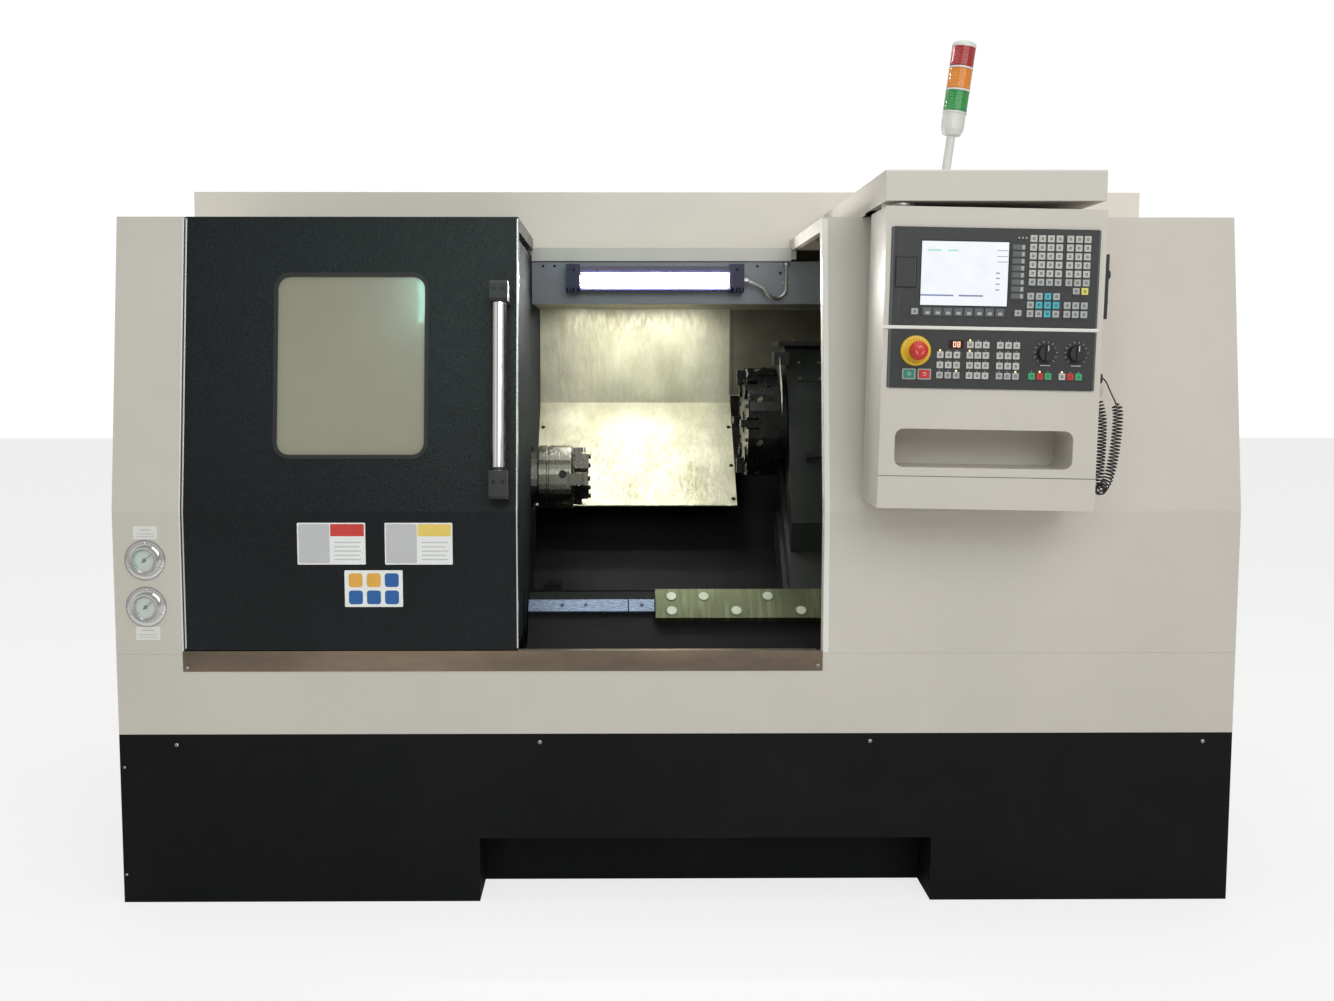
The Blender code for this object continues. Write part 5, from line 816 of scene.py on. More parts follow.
bm = bmesh.new()
addPanelBox(bm, base, screen["left"] + 0.0004, screen["low"] + 0.0004, screen["right"] - 0.0004,
            screen["high"] - 0.0004, screen["depth"], screen["depth"] + 0.0001)
for left, low, right, high, slot, layer in (
        (0.005, 0.015, 0.995, 0.13, 0, 1), (0.0, 0.145, 0.72, 0.170, 2, 1), (0.38, 0.145, 0.44, 0.170, 0, 2),
        (0.07, 0.845, 0.23, 0.868, 1, 1), (0.30, 0.845, 0.42, 0.868, 1, 1)):
    onScreen(bm, left, low, right, high, slot, layer)
for low in (0.86, 0.77, 0.685):
    onScreen(bm, 0.865, low, 0.99, low + 0.012, 3)
for low in (0.505, 0.425, 0.335, 0.245):
    onScreen(bm, 0.86, low, 0.905, low + 0.022, 3)
for row in range(5):  # rows of a plain programme list
    onScreen(bm, 0.05, 0.70 - 0.085 * row, 0.16 + 0.05 * (row % 3), 0.712 - 0.085 * row, 0, 2)
toPiece("screenPicture", bm, "pendant", screenGlow, screenGreen, screenBlue, screenGrey)

bm = bmesh.new()
edge = 0.0016
addFrame(bm, (pendant["panelLeft"] + screen["left"] - edge, base + screen["low"] - edge,
              pendant["panelLeft"] + screen["right"] + edge, base + screen["high"] + edge), edge, "Y",
         yAt(face - 0.0005), yAt(face + 0.0002), 0.002, 0, pendantPlace)
flap = {"left": 0.005, "right": 0.048, "low": 0.077, "high": 0.1384, "line": 0.008, "lineWide": 0.0008}
addFrame(bm, (pendant["panelLeft"] + flap["left"], base + flap["low"], pendant["panelLeft"] + flap["right"],
              base + flap["high"]), 0.0012, "Y", yAt(face - 0.0029), yAt(face - 0.0015), 0.0015, 0, pendantPlace)
addPanelBox(bm, base, flap["right"] - 0.004, flap["low"] + 0.002, flap["right"] - 0.0022, flap["high"] - 0.002,
            face - 0.0036, face - 0.0015, 0.0006, 1)
for low, high in ((0.006, 0.073), (0.143, 0.192)):  # the pressed lines above and below the flap
    left = flap["left"] + flap["line"]
    addPanelBox(bm, base, left, low, left + flap["lineWide"], high, face - 0.0005, face + 0.0002, 0.0002, 1)
statusLights = {"u": 0.2560, "v": 0.1815, "pitch": 0.0075, "count": 3}
for column in range(statusLights["count"]):
    foot = panelAt(statusLights["u"] + statusLights["pitch"] * column, statusLights["v"], base, face)
    addTurned(bm, [(0.0, 0.0008), (0.0014, 0.0006), (0.0017, 0.0)], foot, frontWay, 12, 2, pendantPlace)
toPiece("displayTrim", bm, "pendant", glossBlack, keyDark, markLight)

# rounded side rails of both panels, and the bright strip between them
bm = bmesh.new()
rail = {"wide": 0.0050, "proud": 0.0046, "steps": 6}
for panel in ("display", "control"):
    base, tall = pendant[panel + "Low"], pendant[panel + "High"]
    for u, way in ((0.0, -1), (pendant["panelWide"], 1)):
        profile = [(u, 0.0)]
        for i in range(rail["steps"] + 1):
            angle = math.pi / 2 * i / rail["steps"]
            profile.append((u + way * rail["wide"] * math.sin(angle), -rail["proud"] * math.cos(angle)))
        points = [(pendant["panelLeft"] + x, yAt(pendant["front"] + d)) for x, d in profile]
        addOutline(bm, points, "Z", base + 0.001, base + tall - 0.001, 0, 0, pendantPlace)
toPiece("panelRails", bm, "pendant", keyDark, smooth=60)
bm = bmesh.new()
low = pendant["controlLow"] + pendant["controlHigh"] + 0.0006
addBox(bm, at(pendant["left"] - 0.0008, pendant["front"] - 0.0052, low),
       at(pendant["panelLeft"] + pendant["panelWide"] + 0.008, pendant["front"] + 0.0005,
          pendant["displayLow"] - 0.0006), 0.0018, 0, pendantPlace, 3)
toPiece("brightStrip", bm, "pendant", paleTrimAndHighlight)

print("pendant side")
sideX = pendant["right"] + 0.003
sidePlate = {"front": -0.186, "back": -0.132, "low": 1.3125, "high": 1.4450, "thick": 0.0014, "corner": 0.004,
             "screwIn": 0.006, "screw": 0.0028, "rim": 0.0035, "rimHigh": 0.0058}
sideKnob = {"depth": -0.163, "z": 1.4045, "seat": 0.0105, "ribs": 18}
keySwitch = {"depth": -0.163, "z": 1.347, "seat": 0.019}
outside = sideX + sidePlate["thick"]
bm = bmesh.new()
outline = roundedPoints(sidePlate["front"], sidePlate["low"], sidePlate["back"], sidePlate["high"],
                        sidePlate["corner"])
addOutline(bm, [(yAt(depth), z) for depth, z in outline], "X", sideX - 0.0045, outside, 0.0005, 0, pendantPlace)
for depth in (sidePlate["front"] + sidePlate["screwIn"], sidePlate["back"] - sidePlate["screwIn"]):
    for z in (sidePlate["low"] + sidePlate["screwIn"], sidePlate["high"] - sidePlate["screwIn"]):
        addPanScrew(bm, at(outside, depth, z), rightWay, sidePlate["screw"], 1, pendantPlace)
for part in (sideKnob, keySwitch):
    radius = part["seat"]
    addTurned(bm, [(radius - 0.004, 0.0004), (radius - 0.003, 0.0012), (radius, 0.0008), (radius + 0.0006, 0.0)],
              at(outside, part["depth"], part["z"]), rightWay, 32, 3, pendantPlace)
addFrame(bm, (yAt(sidePlate["front"]), sidePlate["low"], yAt(sidePlate["back"]), sidePlate["high"]),
         sidePlate["rim"], "X", outside - 0.0004, sideX + sidePlate["rimHigh"], sidePlate["corner"], 0,
         pendantPlace)
toPiece("sidePlate", bm, "pendant", blackPlastic, brushedSteel, markDark, silverTrimAndHighlight)
bm = bmesh.new()
foot = at(pendant["right"] + 0.0003, sideKnob["depth"], sideKnob["z"])
for turn in around(foot, sideKnob["ribs"], "X", pendantPlace):
    addBox(bm, (0.005, -0.0006, 0.0080), (0.0168, 0.0006, 0.0091), 0.0002, 0, turn)
toPiece("sideKnobRibs", bm, "side_knob", blackPlastic)
bm = bmesh.new()
addTurned(bm, [(0.0088, 0.0118), (0.0096, 0.0128), (0.0152, 0.0126), (0.0166, 0.0116), (0.0172, 0.0090)],
          at(pendant["right"] + 0.0003, keySwitch["depth"], keySwitch["z"]), rightWay, 32, 0, pendantPlace)
toPiece("keySwitchRing", bm, "key_switch", chromePlate, smooth=40)
bm = bmesh.new()
foot = at(pendant["right"] + 0.0002, curly["front"], curly["high"])
addTurned(bm, [(0.0102, 0.001), (0.0126, 0.0016), (0.0126, 0.0050), (0.0108, 0.0062), (0.0104, 0.0118),
               (0.0060, 0.0122), (0.0036, 0.0122)], foot, rightWay, 24, 0, pendantPlace)
for turn in around(foot, 6, "X", pendantPlace):
    addBox(bm, (0.0022, -0.0066, 0.0104), (0.0048, 0.0066, 0.0138), 0.0004, 0, turn)
toPiece("cordGland", bm, "pendant", blackPlastic)
bm = bmesh.new()
addTurned(bm, [(0.0036, -0.0002), (0.0070, -0.0002), (0.0100, 0.004), (0.0104, 0.0104), (0.0086, 0.0118),
               (0.0036, 0.0122)], at(0.887, curly["back"], 1.1632), (0, 0, -1), 24, 0, pendantPlace)
toPiece("cordElbowNut", bm, "pendant", blackPlastic, smooth=40)

print("pendant box")
washer = {"hole": 0.0060, "radius": 0.0188, "chamfer": 0.0008, "tall": 0.0078, "forward": 0.040, "down": 0.0094}
hole, radius, tall = washer["hole"], washer["radius"], washer["tall"]
bm = bmesh.new()
addTurned(bm, [(hole, 0.0), (radius - washer["chamfer"], 0.0), (radius, 0.0010), (radius, tall - 0.0010),
               (radius - washer["chamfer"], tall), (hole, tall)],
          pendant["pivot"] - Vector((0, washer["forward"], washer["down"])), upWay, 40, 0, pendantPlace)
toPiece("pivotWasher", bm, "pendant", brushedSteel, smooth=40)
shelf = {"gap": 0.0022, "left": 0.4180, "right": 0.8700, "z": 0.9812}
bm = bmesh.new()
addBox(bm, at(shelf["left"], pendant["front"] - 0.0004, shelf["z"] - shelf["gap"]),
       at(shelf["right"], pendant["front"] + 0.006, shelf["z"] + shelf["gap"] * 0.35), 0.0003, place=pendantPlace)
toPiece("shelfJoint", bm, "pendant", markDark)

print("door")
door = {"left": -1.0965, "right": -0.3555, "low": 0.578, "top": 1.54}
window = {"left": -0.891, "right": -0.560, "low": 1.010, "high": 1.409, "corner": 0.03, "gasket": 0.0065,
          "proud": 0.0020}
planeY = yAt(0)


def slopeZ(z):
    # height along the leaning front of a point that is really at z
    return lean["kink"] + (z - lean["kink"]) / math.cos(leanAngle)


bm = bmesh.new()
gasket = window["gasket"]
addFrame(bm, (window["left"] - gasket, slopeZ(window["low"]) - gasket, window["right"] + gasket,
              slopeZ(window["high"]) + gasket), gasket + 0.0025, "Y", planeY - window["proud"], planeY + 0.0015,
         window["corner"] + gasket, 0, leanPlace)
toPiece("windowGasket", bm, "door", blackRubber, smooth=50)
# a silver lip inside the window's edge: painted highlight of the opening's rim
bm = bmesh.new()
addFrame(bm, (window["left"] - 0.0005, slopeZ(window["low"]) - 0.0005, window["right"] + 0.0005,
              slopeZ(window["high"]) + 0.0005), 0.0035, "Y", planeY + 0.004, planeY + 0.012, window["corner"], 0,
         leanPlace)
toPiece("windowLipHighlight", bm, "door", silverTrimAndHighlight, smooth=50)


def addFrontStrip(bm, left, wide, low, top, proud, sink, bevel):
    # a thin strip up the front, bent at the kink
    addBox(bm, (left, planeY - proud, low), (left + wide, planeY + sink, lean["kink"]), bevel)
    addBox(bm, (left, planeY - proud, lean["kink"]), (left + wide, planeY + sink, top), bevel, 0, leanPlace)


# light strips down both door edges: painted highlight where the edges catch the light
bm = bmesh.new()
edges = {"wide": 0.0032, "proud": 0.0012, "short": 0.004}
for left in (door["right"] - edges["wide"], door["left"] + 0.0003):
    addFrontStrip(bm, left, edges["wide"], door["low"] + edges["short"], slopeZ(door["top"]) - edges["short"],
                  edges["proud"], 0.0015, 0.0005)
toPiece("doorEdgeHighlights", bm, "door", silverTrimAndHighlight)

plates = {"thick": 0.0005, "layer": 0.00015, "corner": 0.002}


def addPlate(bm, left, low, right, high, slot, layer=0, corner=None):
    points = roundedPoints(left, low, right, high, corner or plates["corner"], 3)
    front = planeY - plates["thick"] - plates["layer"] * layer
    addOutline(bm, points, "Y", front, planeY + 0.0002 - plates["thick"] * (layer > 0), 0, slot)


bm = bmesh.new()
labels = ((-0.8428, 0.7702, -0.6920, 0.8634), (-0.6492, 0.7699, -0.4995, 0.8631),
          (-0.7396, 0.6752, -0.6108, 0.7573))
white, red, yellow, grey, blue, orange = range(6)
label = {"margin": 0.003, "head": 0.030, "split": -0.004, "inset": 0.010, "line": 0.0025, "linePitch": 0.0095,
         "lines": 5, "field": 0.0155, "firstX": 0.0245, "firstZ": 0.0215, "pitchX": 0.040, "pitchZ": 0.0385}
for box in labels:
    addPlate(bm, *box, white)
for (left, low, right, high), colour in zip(labels, (red, yellow)):
    middle = (left + right) / 2 + label["split"]
    right, high = right - label["margin"], high - label["margin"]
    addPlate(bm, middle + 0.002, high + label["margin"] - label["head"], right, high, colour, 1, 0.001)
    addPlate(bm, left + label["margin"], low + label["margin"], middle, high, grey, 1, 0.004)
    for row in range(label["lines"]):  # plain lines in place of words
        foot = low + label["inset"] + label["linePitch"] * row
        addPlate(bm, middle + label["inset"], foot, right - 0.007 - 0.004 * (row % 2), foot + label["line"], grey,
                 1, 0.0006)
left, low, right, high = labels[2]
for column in range(3):
    for row in range(2):
        x, z = left + label["firstX"] + label["pitchX"] * column, low + label["firstZ"] + label["pitchZ"] * row
        addPlate(bm, x - label["field"], z - label["field"], x + label["field"], z + label["field"],
                 orange if row and column < 2 else blue, 1, 0.006)
toPiece("doorLabels", bm, "door", whitePlate, redPlate, yellowPlate, labelGrey, labelBlue, labelOrange)

handle = {"x": -0.393, "low": 0.975, "high": 1.345, "radius": 0.0155, "stand": 0.050, "screwOut": 0.019,
          "screwIn": 0.010, "screw": 0.0042}
radius = handle["radius"]
bm = bmesh.new()
for z, way in ((handle["low"], 1), (handle["high"], -1)):
    addTurned(bm, [(radius + 0.0004, -0.0005), (radius + 0.0022, 0.0006), (radius + 0.0022, 0.0052),
                   (radius + 0.0003, 0.0062)], at(handle["x"], -handle["stand"], slopeZ(z)), (0, 0, way), 40, 0,
              leanPlace)
toPiece("handleCollars", bm, "door", blackPlastic, smooth=40)
bm = bmesh.new()
for name in ("handle_bracket_upper", "handle_bracket_lower"):
    low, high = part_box(name)
    z = (low.z + high.z) / 2
    for x in (low.x + handle["screwIn"], high.x - handle["screwIn"]):
        addCapScrew(bm, at(x, -handle["stand"] - handle["screwOut"], slopeZ(z)), frontWay, handle["screw"], 0,
                    leanPlace)
toPiece("handleScrews", bm, "door", blackSteel, smooth=40)

print("front")
# pale strips up the rounded edges of the end covers: painted highlight where those edges catch the light
trim = {"edges": ((-1.1035, 0.0033), (0.3247, 0.0122)), "proud": 0.0009, "low": 0.5705, "top": 1.536}
bm = bmesh.new()
for left, wide in trim["edges"]:
    addFrontStrip(bm, left, wide, trim["low"], slopeZ(trim["top"]), trim["proud"], 0.001, 0.0006)
toPiece("foldedEdgeHighlights", bm, "machine", paleTrimAndHighlight)

bandScrews = ((-1.122, 0.3629), (-0.3089, 0.3676), (0.4335, 0.3689), (1.1838, 0.3667))
standScrews = ((-1.2399, 0.3117), (-1.2429, 0.0642))
sillScrews = ((-1.092, 0.5387), (0.3138, 0.542))
bm = bmesh.new()
for screws, y, radius in ((bandScrews, planeY, 0.0048), (standScrews, planeY, 0.0034),
                          (sillScrews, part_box("sill_strip")[0].y, 0.0042)):
    for x, z in screws:
        addPanScrew(bm, (x, y, z), frontWay, radius)
toPiece("frontScrews", bm, "machine", brushedSteel, markDark, smooth=40)

print("gauges")
gauge = {"x": -1.179, "flange": 0.0445, "bezel": 0.030, "bowl": 0.0255, "ticks": 27, "sweep": 270, "scale": 0.0222,
         "arcSteps": 16, "screwRing": 0.0375, "screw": 0.0034}
for name, z in (("upper", 0.781), ("lower", 0.6765)):
    centre = at(gauge["x"], 0, z)
    bm = bmesh.new()
    addTurned(bm, [(0.0, 0.0065), (gauge["bowl"] - 0.0004, 0.0065), (gauge["bowl"] - 0.0004, 0.0060)], centre,
              frontWay, 48)
    onDial = Matrix.Translation(centre)
    for i in range(gauge["ticks"]):
        angle = math.radians(gauge["sweep"] * (i / (gauge["ticks"] - 1) - 0.5))
        long = 0.0036 if i % 5 == 1 else 0.0020
        addBox(bm, (-0.00028, -0.0068, gauge["scale"] - long), (0.00028, -0.0062, gauge["scale"]), 0, 1,
               onDial @ Matrix.Rotation(angle, 4, "Y"))
    for start, end, slot in ((-135, -20, 2), (-20, 60, 3)):  # the two coloured arcs of the scale
        half = 0.0230 * math.radians(end - start) / (2 * gauge["arcSteps"])
        for i in range(gauge["arcSteps"]):
            angle = math.radians(start + (end - start) * (i + 0.5) / gauge["arcSteps"])
            addBox(bm, (-half, -0.0067, 0.0226), (half, -0.0062, 0.0238), 0, slot,
                   onDial @ Matrix.Rotation(angle, 4, "Y"))
    addTurned(bm, [(0.0, 0.0102), (0.0022, 0.0100), (0.0030, 0.0092), (0.0031, 0.0070)], centre, frontWay, 24, 1)
    toPiece("dial_" + name, bm, "machine", dialFace, markDark, greenPlastic, cyanKey)
    bm = bmesh.new()
    bowl, bezel, flange = gauge["bowl"], gauge["bezel"], gauge["flange"]
    addTurned(bm, [(bowl - 0.0006, 0.0066), (bowl - 0.0006, 0.0158), (bowl + 0.0006, 0.0172),
                   (bezel - 0.0012, 0.0174), (bezel + 0.0003, 0.0160), (bezel + 0.0005, 0.0040)], centre,
              frontWay, 48)
    addTurned(bm, [(bezel + 0.0006, 0.0037), (bezel + 0.004, 0.0046), (flange - 0.004, 0.0043),
                   (flange + 0.0002, 0.0030), (flange + 0.0002, 0.0003)], centre, frontWay, 56)
    toPiece("bezel_" + name, bm, "machine", chromePlate, smooth=35)
    bm = bmesh.new()
    for angle in map(math.radians, (90, 205, 335)):
        x, lift = math.cos(angle) * gauge["screwRing"], math.sin(angle) * gauge["screwRing"]
        addPanScrew(bm, at(gauge["x"] + x, -0.0042, z + lift), frontWay, gauge["screw"])
    toPiece("gaugeScrews_" + name, bm, "machine", chromePlate, markDark, smooth=40)
    bm = bmesh.new()
    addTurned(bm, [(0.0, 0.0158), (0.010, 0.0156), (0.020, 0.0151), (bowl - 0.0008, 0.0146),
                   (bowl - 0.0008, 0.0140), (0.0, 0.0150)], centre, frontWay, 48)
    toPiece("gaugeGlass_" + name, bm, "machine", gaugeGlass, smooth=60)
gaugePlate = {"spots": ((-1.2043, 0.8266, -1.1511, 0.8560), (-1.2046, 0.6012, -1.1508, 0.6315)),
              "titleIn": 0.014, "lineIn": 0.006, "linePitch": 0.0055, "line": 0.0018}
titleIn, lineIn = gaugePlate["titleIn"], gaugePlate["lineIn"]
bm = bmesh.new()
for left, low, right, high in gaugePlate["spots"]:
    addPlate(bm, left, low, right, high, 0, 0, 0.0015)
    addPlate(bm, left + titleIn, high - 0.0095, right - titleIn, high - 0.0065, 1, 1, 0.0005)
    for row in range(2):
        foot = low + lineIn + gaugePlate["linePitch"] * row
        addPlate(bm, left + lineIn, foot, right - lineIn, foot + gaugePlate["line"], 1, 1, 0.0004)
toPiece("gaugePlates", bm, "machine", paleTrimAndHighlight, labelGrey)

print("work area")
slope45 = math.radians(45)
lampWall = {"left": -0.3585, "right": 1.045, "low": 1.3724, "high": 1.4815, "depth": 0.6643, "lip": 0.006,
            "screws": ((-0.33, 1.470), (-0.30, 1.470), (0.235, 1.470), (0.296, 1.452)), "screw": 0.0038}
bm = bmesh.new()
addBox(bm, at(lampWall["left"], lampWall["depth"], lampWall["low"]),
       at(lampWall["right"], lampWall["depth"] + 0.0006, lampWall["high"]))
addBox(bm, at(lampWall["left"], lampWall["depth"] - lampWall["lip"], lampWall["low"] - 0.0022),
       at(lampWall["right"], lampWall["depth"] + 0.0004, lampWall["low"] + 0.0004), 0.0006)
for x, z in lampWall["screws"]:
    addPanScrew(bm, at(x, lampWall["depth"], z), frontWay, lampWall["screw"], 1)
toPiece("lampWallPanel", bm, "machine", lampPanel, blackSteel, glossBlack)

lampEnd = {"centres": (-0.2495, 0.178), "low": 1.399, "high": 1.472, "front": 0.6067, "screwZ": 1.4575,
           "screw": 0.0034, "cap": 0.0162, "capOut": 0.0188}
bm = bmesh.new()
for side, x in zip((1, -1), lampEnd["centres"]):
    for shift, wide in ((0.006, 0.0022), (-0.003, 0.0016), (-0.011, 0.0022)):
        middle = x + side * shift
        addBox(bm, at(middle - wide, lampEnd["front"] - 0.0016, lampEnd["low"] + 0.001),
               at(middle + wide, lampEnd["front"] + 0.02, lampEnd["high"] - 0.001), 0.0006)
    addPanScrew(bm, at(x + side * 0.001, lampEnd["front"], lampEnd["screwZ"]), frontWay, lampEnd["screw"], 1)
    addTurned(bm, [(0.0, 0.003), (lampEnd["cap"] - 0.0014, 0.003), (lampEnd["cap"], 0.0015),
                   (lampEnd["cap"], 0.0)], at(x + side * lampEnd["capOut"], 0.6204, 1.4305), (side, 0, 0), 28, 2)
toPiece("lampEndRibs", bm, "machine", blueEnamel, blackSteel, glossBlack)

clips = {"spots": ((0.2935, 1.3875), (0.311, 1.427)), "half": 0.010, "tall": 0.0035, "front": 0.6625,
         "back": 0.6643, "screwOut": 0.0082, "screw": 0.0022}
bm = bmesh.new()
addTurned(bm, [(0.0, 0.012), (0.0062, 0.012), (0.0074, 0.0105), (0.0074, 0.0)], at(0.1980, 0.6347, 1.430),
          rightWay, 20)
addTurned(bm, [(0.0052, 0.006), (0.0088, 0.006), (0.0094, 0.0052), (0.0094, 0.0), (0.0052, 0.0)],
          at(0.311, 0.6587, 1.4705), upWay, 20)
for x, z in clips["spots"]:
    addBox(bm, at(x - clips["half"], clips["front"], z - clips["tall"]),
           at(x + clips["half"], clips["back"], z + clips["tall"]), 0.0005)
    addPanScrew(bm, at(x + clips["screwOut"], clips["front"], z), frontWay, clips["screw"], 1)
toPiece("conduitFittings", bm, "machine", brushedSteel, railSteel, blackSteel)

# a darker copy of the wall steel over the right part of the back wall: painted shade; the narrow strip at its left
# end is the seam
wallPaintedShade = {"left": 0.1955, "right": 1.045, "low": 1.124, "high": 1.3705, "depth": 1.0436, "seam": 0.004}
bm = bmesh.new()
addBox(bm, at(wallPaintedShade["left"], wallPaintedShade["depth"], wallPaintedShade["low"]),
       at(wallPaintedShade["right"], wallPaintedShade["depth"] + 0.0011, wallPaintedShade["high"]), 0.0003)
addBox(bm, at(wallPaintedShade["left"] - wallPaintedShade["seam"], wallPaintedShade["depth"] - 0.003, wallPaintedShade["low"]),
       at(wallPaintedShade["left"] + wallPaintedShade["seam"], wallPaintedShade["depth"] + 0.0012, wallPaintedShade["high"]), 0.0008)
toPiece("wallSeamAndPaintedShade", bm, "machine", paintedShadeSteel)

sheetScrews = ((0.1858, 1.0321), (0.1858, 0.9284), (0.1858, 0.8420), (-0.3480, 1.0321), (-0.3480, 0.8420))
bm = bmesh.new()
for x, z in sheetScrews:
    addTurned(bm, [(0.0, 0.0010), (0.0034, 0.0010), (0.0062, 0.0004), (0.0062, -0.0004)], at(x, z - 0.056, z),
              (0, -1, 1), 20)
toPiece("sheetScrews", bm, "machine", blackSteel)

# the guide rail left of the way plate lies on the same 45 degree face
plate = {"depth": 0.364848, "height": 0.621152, "thick": 0.012728, "firstPlug": 0.0, "pitch": 0.080, "rows": 11,
         "step": 0.0155}
guide = {"lengths": ((-0.3565, -0.1085), (-0.1065, -0.0425)), "holes": (-0.272, -0.214, -0.074),
         "low": -0.017, "high": 0.019, "sink": -0.0004, "thick": 0.0085}
railPlace = (Matrix.Translation(at(0, plate["depth"] + plate["thick"], plate["height"] - plate["thick"]))
             @ Matrix.Rotation(slope45, 4, "X"))
bm = bmesh.new()
for left, right in guide["lengths"]:
    addBox(bm, (left, guide["low"], guide["sink"]), (right, guide["high"], guide["thick"]), 0.0008,
           place=railPlace)
for x in guide["holes"]:
    addTurned(bm, [(0.0, 0.0001), (0.0034, 0.0001), (0.0046, 0.0007), (0.0046, 0.0)], (x, 0.001, 0.0084), upWay,
              16, 1, railPlace)
addBox(bm, (-0.0428, -0.022, guide["sink"]), (-0.0404, 0.024, 0.0125), 0.0004, 1, railPlace)
toPiece("guideRail", bm, "machine", blueRail, blackSteel)

plugPlace = Matrix.Translation(at(0, plate["depth"], plate["height"])) @ Matrix.Rotation(slope45, 4, "X")
across = plate["step"] * math.sqrt(2)
plugs = [(0, 1), (0, -1)] + [(i, 1 if i % 2 else -1) for i in range(1, plate["rows"])]
bm = bmesh.new()
for i, side in plugs:
    spot = (plate["firstPlug"] + i * plate["pitch"], side * across, 0.0008)
    addTurned(bm, [(0.0, 0.0007), (0.0118, 0.0007), (0.0122, 0.0003)], spot, upWay, 28, 0, plugPlace)
    addTurned(bm, [(0.0122, 0.0003), (0.0126, 0.0008), (0.0141, 0.0008), (0.0147, 0.0), (0.0147, -0.0009)], spot,
              upWay, 28, 1, plugPlace)
toPiece("wayPlugs", bm, "machine", plugFace, plugRim)

chuck = {"depth": 0.635, "height": 0.915, "radius": 0.084, "right": -0.251, "plugX": -0.2765, "plugSink": 0.0012,
         "screwRing": 0.058, "screw": 0.0042, "jawX": -0.2111, "jawScrew": 0.0058, "teethX": -0.2385,
         "teethOut": 0.080, "tooth": 0.0032, "toothPitch": 0.0065, "teeth": 4, "jawHalf": 0.0138}


def chuckAt(x):
    return at(x, chuck["depth"], chuck["height"])


bm = bmesh.new()
radius = chuck["radius"]
for x, wide, rise in ((-0.3275, 0.0012, 0.0004), (-0.2995, 0.0006, 0.0003), (-0.2585, 0.0009, 0.0004)):
    addTurned(bm, [(radius - 0.003, -wide), (radius + rise, -wide * 0.5), (radius + rise, wide * 0.5),
                   (radius - 0.003, wide)], chuckAt(x), rightWay, 72)
for angle in (9.6, 129.6, 249.6):
    way = spoke(angle)
    foot = chuckAt(chuck["plugX"]) + way * (radius - chuck["plugSink"])
    addTurned(bm, [(0.0, 0.0016), (0.0052, 0.0016), (0.0054, 0.0024), (0.0092, 0.0024), (0.0104, 0.0016),
                   (0.0104, 0.0)], foot, way, 24, 1)
addTurned(bm, [(0.026, 0.0), (0.026, 0.0022), (0.0300, 0.0022), (0.0312, 0.0012), (0.0312, 0.0)],
          chuckAt(chuck["right"]), rightWay, 40)
for angle in range(30, 390, 60):
    addCapScrew(bm, chuckAt(chuck["right"]) + spoke(angle) * chuck["screwRing"], rightWay, chuck["screw"], 1)
toPiece("chuckRings", bm, "spindle", turnedSteel, blackSteel)

for i in range(3):
    angle = math.radians(120 * i + 270)
    way = Vector((0, math.sin(angle), -math.cos(angle)))
    side = Vector((0, -way.z, way.y))
    bm = bmesh.new()
    for reach in (0.034, 0.060):
        addCapScrew(bm, chuckAt(chuck["jawX"]) + way * reach, rightWay, chuck["jawScrew"])
    turn = Matrix(((1, 0, 0), side, way)).transposed().to_4x4()
    foot = Matrix.Translation(chuckAt(chuck["teethX"]) + way * chuck["teethOut"]) @ turn
    for step in range(chuck["teeth"]):
        low = -0.004 + step * chuck["toothPitch"]
        addBox(bm, (low, -chuck["jawHalf"], -0.0004), (low + chuck["tooth"], chuck["jawHalf"], 0.0005), 0.0001, 1,
               foot)
    toPiece(f"jawDetails{i + 1}", bm, f"jaw_{i + 1}", blackSteel, turnedSteel)

turretRim = {"depth": 0.775, "height": 1.056, "radius": 0.150, "left": 0.212, "stations": 8, "blockScrewX": 0.266,
             "blockRing": 0.1428, "blockScrew": 0.0062, "faceRing": 0.118, "faceScrew": 0.0055, "neck": 0.1425}
stationTurn = 360 / turretRim["stations"]
centre = at(0, turretRim["depth"], turretRim["height"])
leftWay = (-1, 0, 0)
bm = bmesh.new()
for station in range(turretRim["stations"]):
    for off, x in ((26, 0.2452), (-21, 0.2406)):
        way = spoke(stationTurn * station + off)
        foot = centre + way * (turretRim["radius"] - 0.0004) + Vector((x, 0, 0))
        addTurned(bm, [(0.0, 0.0002), (0.0030, 0.0002), (0.0033, 0.0012), (0.0056, 0.0012), (0.0062, 0.0006),
                       (0.0062, -0.002)], foot, way, 16, 1)
    way = spoke(stationTurn * station)
    addCapScrew(bm, centre + way * turretRim["blockRing"] + Vector((turretRim["blockScrewX"], 0, 0)), way,
                turretRim["blockScrew"])
for station in range(turretRim["stations"]):
    addCapScrew(bm, centre + spoke(stationTurn * (station + 0.5)) * turretRim["faceRing"]
                + Vector((turretRim["left"], 0, 0)), leftWay, turretRim["faceScrew"])
neck = turretRim["neck"]
for x, rise in ((0.2895, 0.0005), (0.2775, 0.0004)):
    addTurned(bm, [(neck - 0.004, -0.0010), (neck + rise, -0.0006), (neck + rise, 0.0006), (neck - 0.004, 0.0010)],
              centre + Vector((x, 0, 0)), rightWay, 96)
addTurned(bm, [(0.0, 0.0046), (0.026, 0.0046), (0.030, 0.0030), (0.0305, 0.0), (0.052, 0.0), (0.054, -0.0012)],
          centre + Vector((turretRim["left"] - 0.0008, 0, 0)), leftWay, 48)
toPiece("turretDetails", bm, "turret", blackSteel, plugRim)

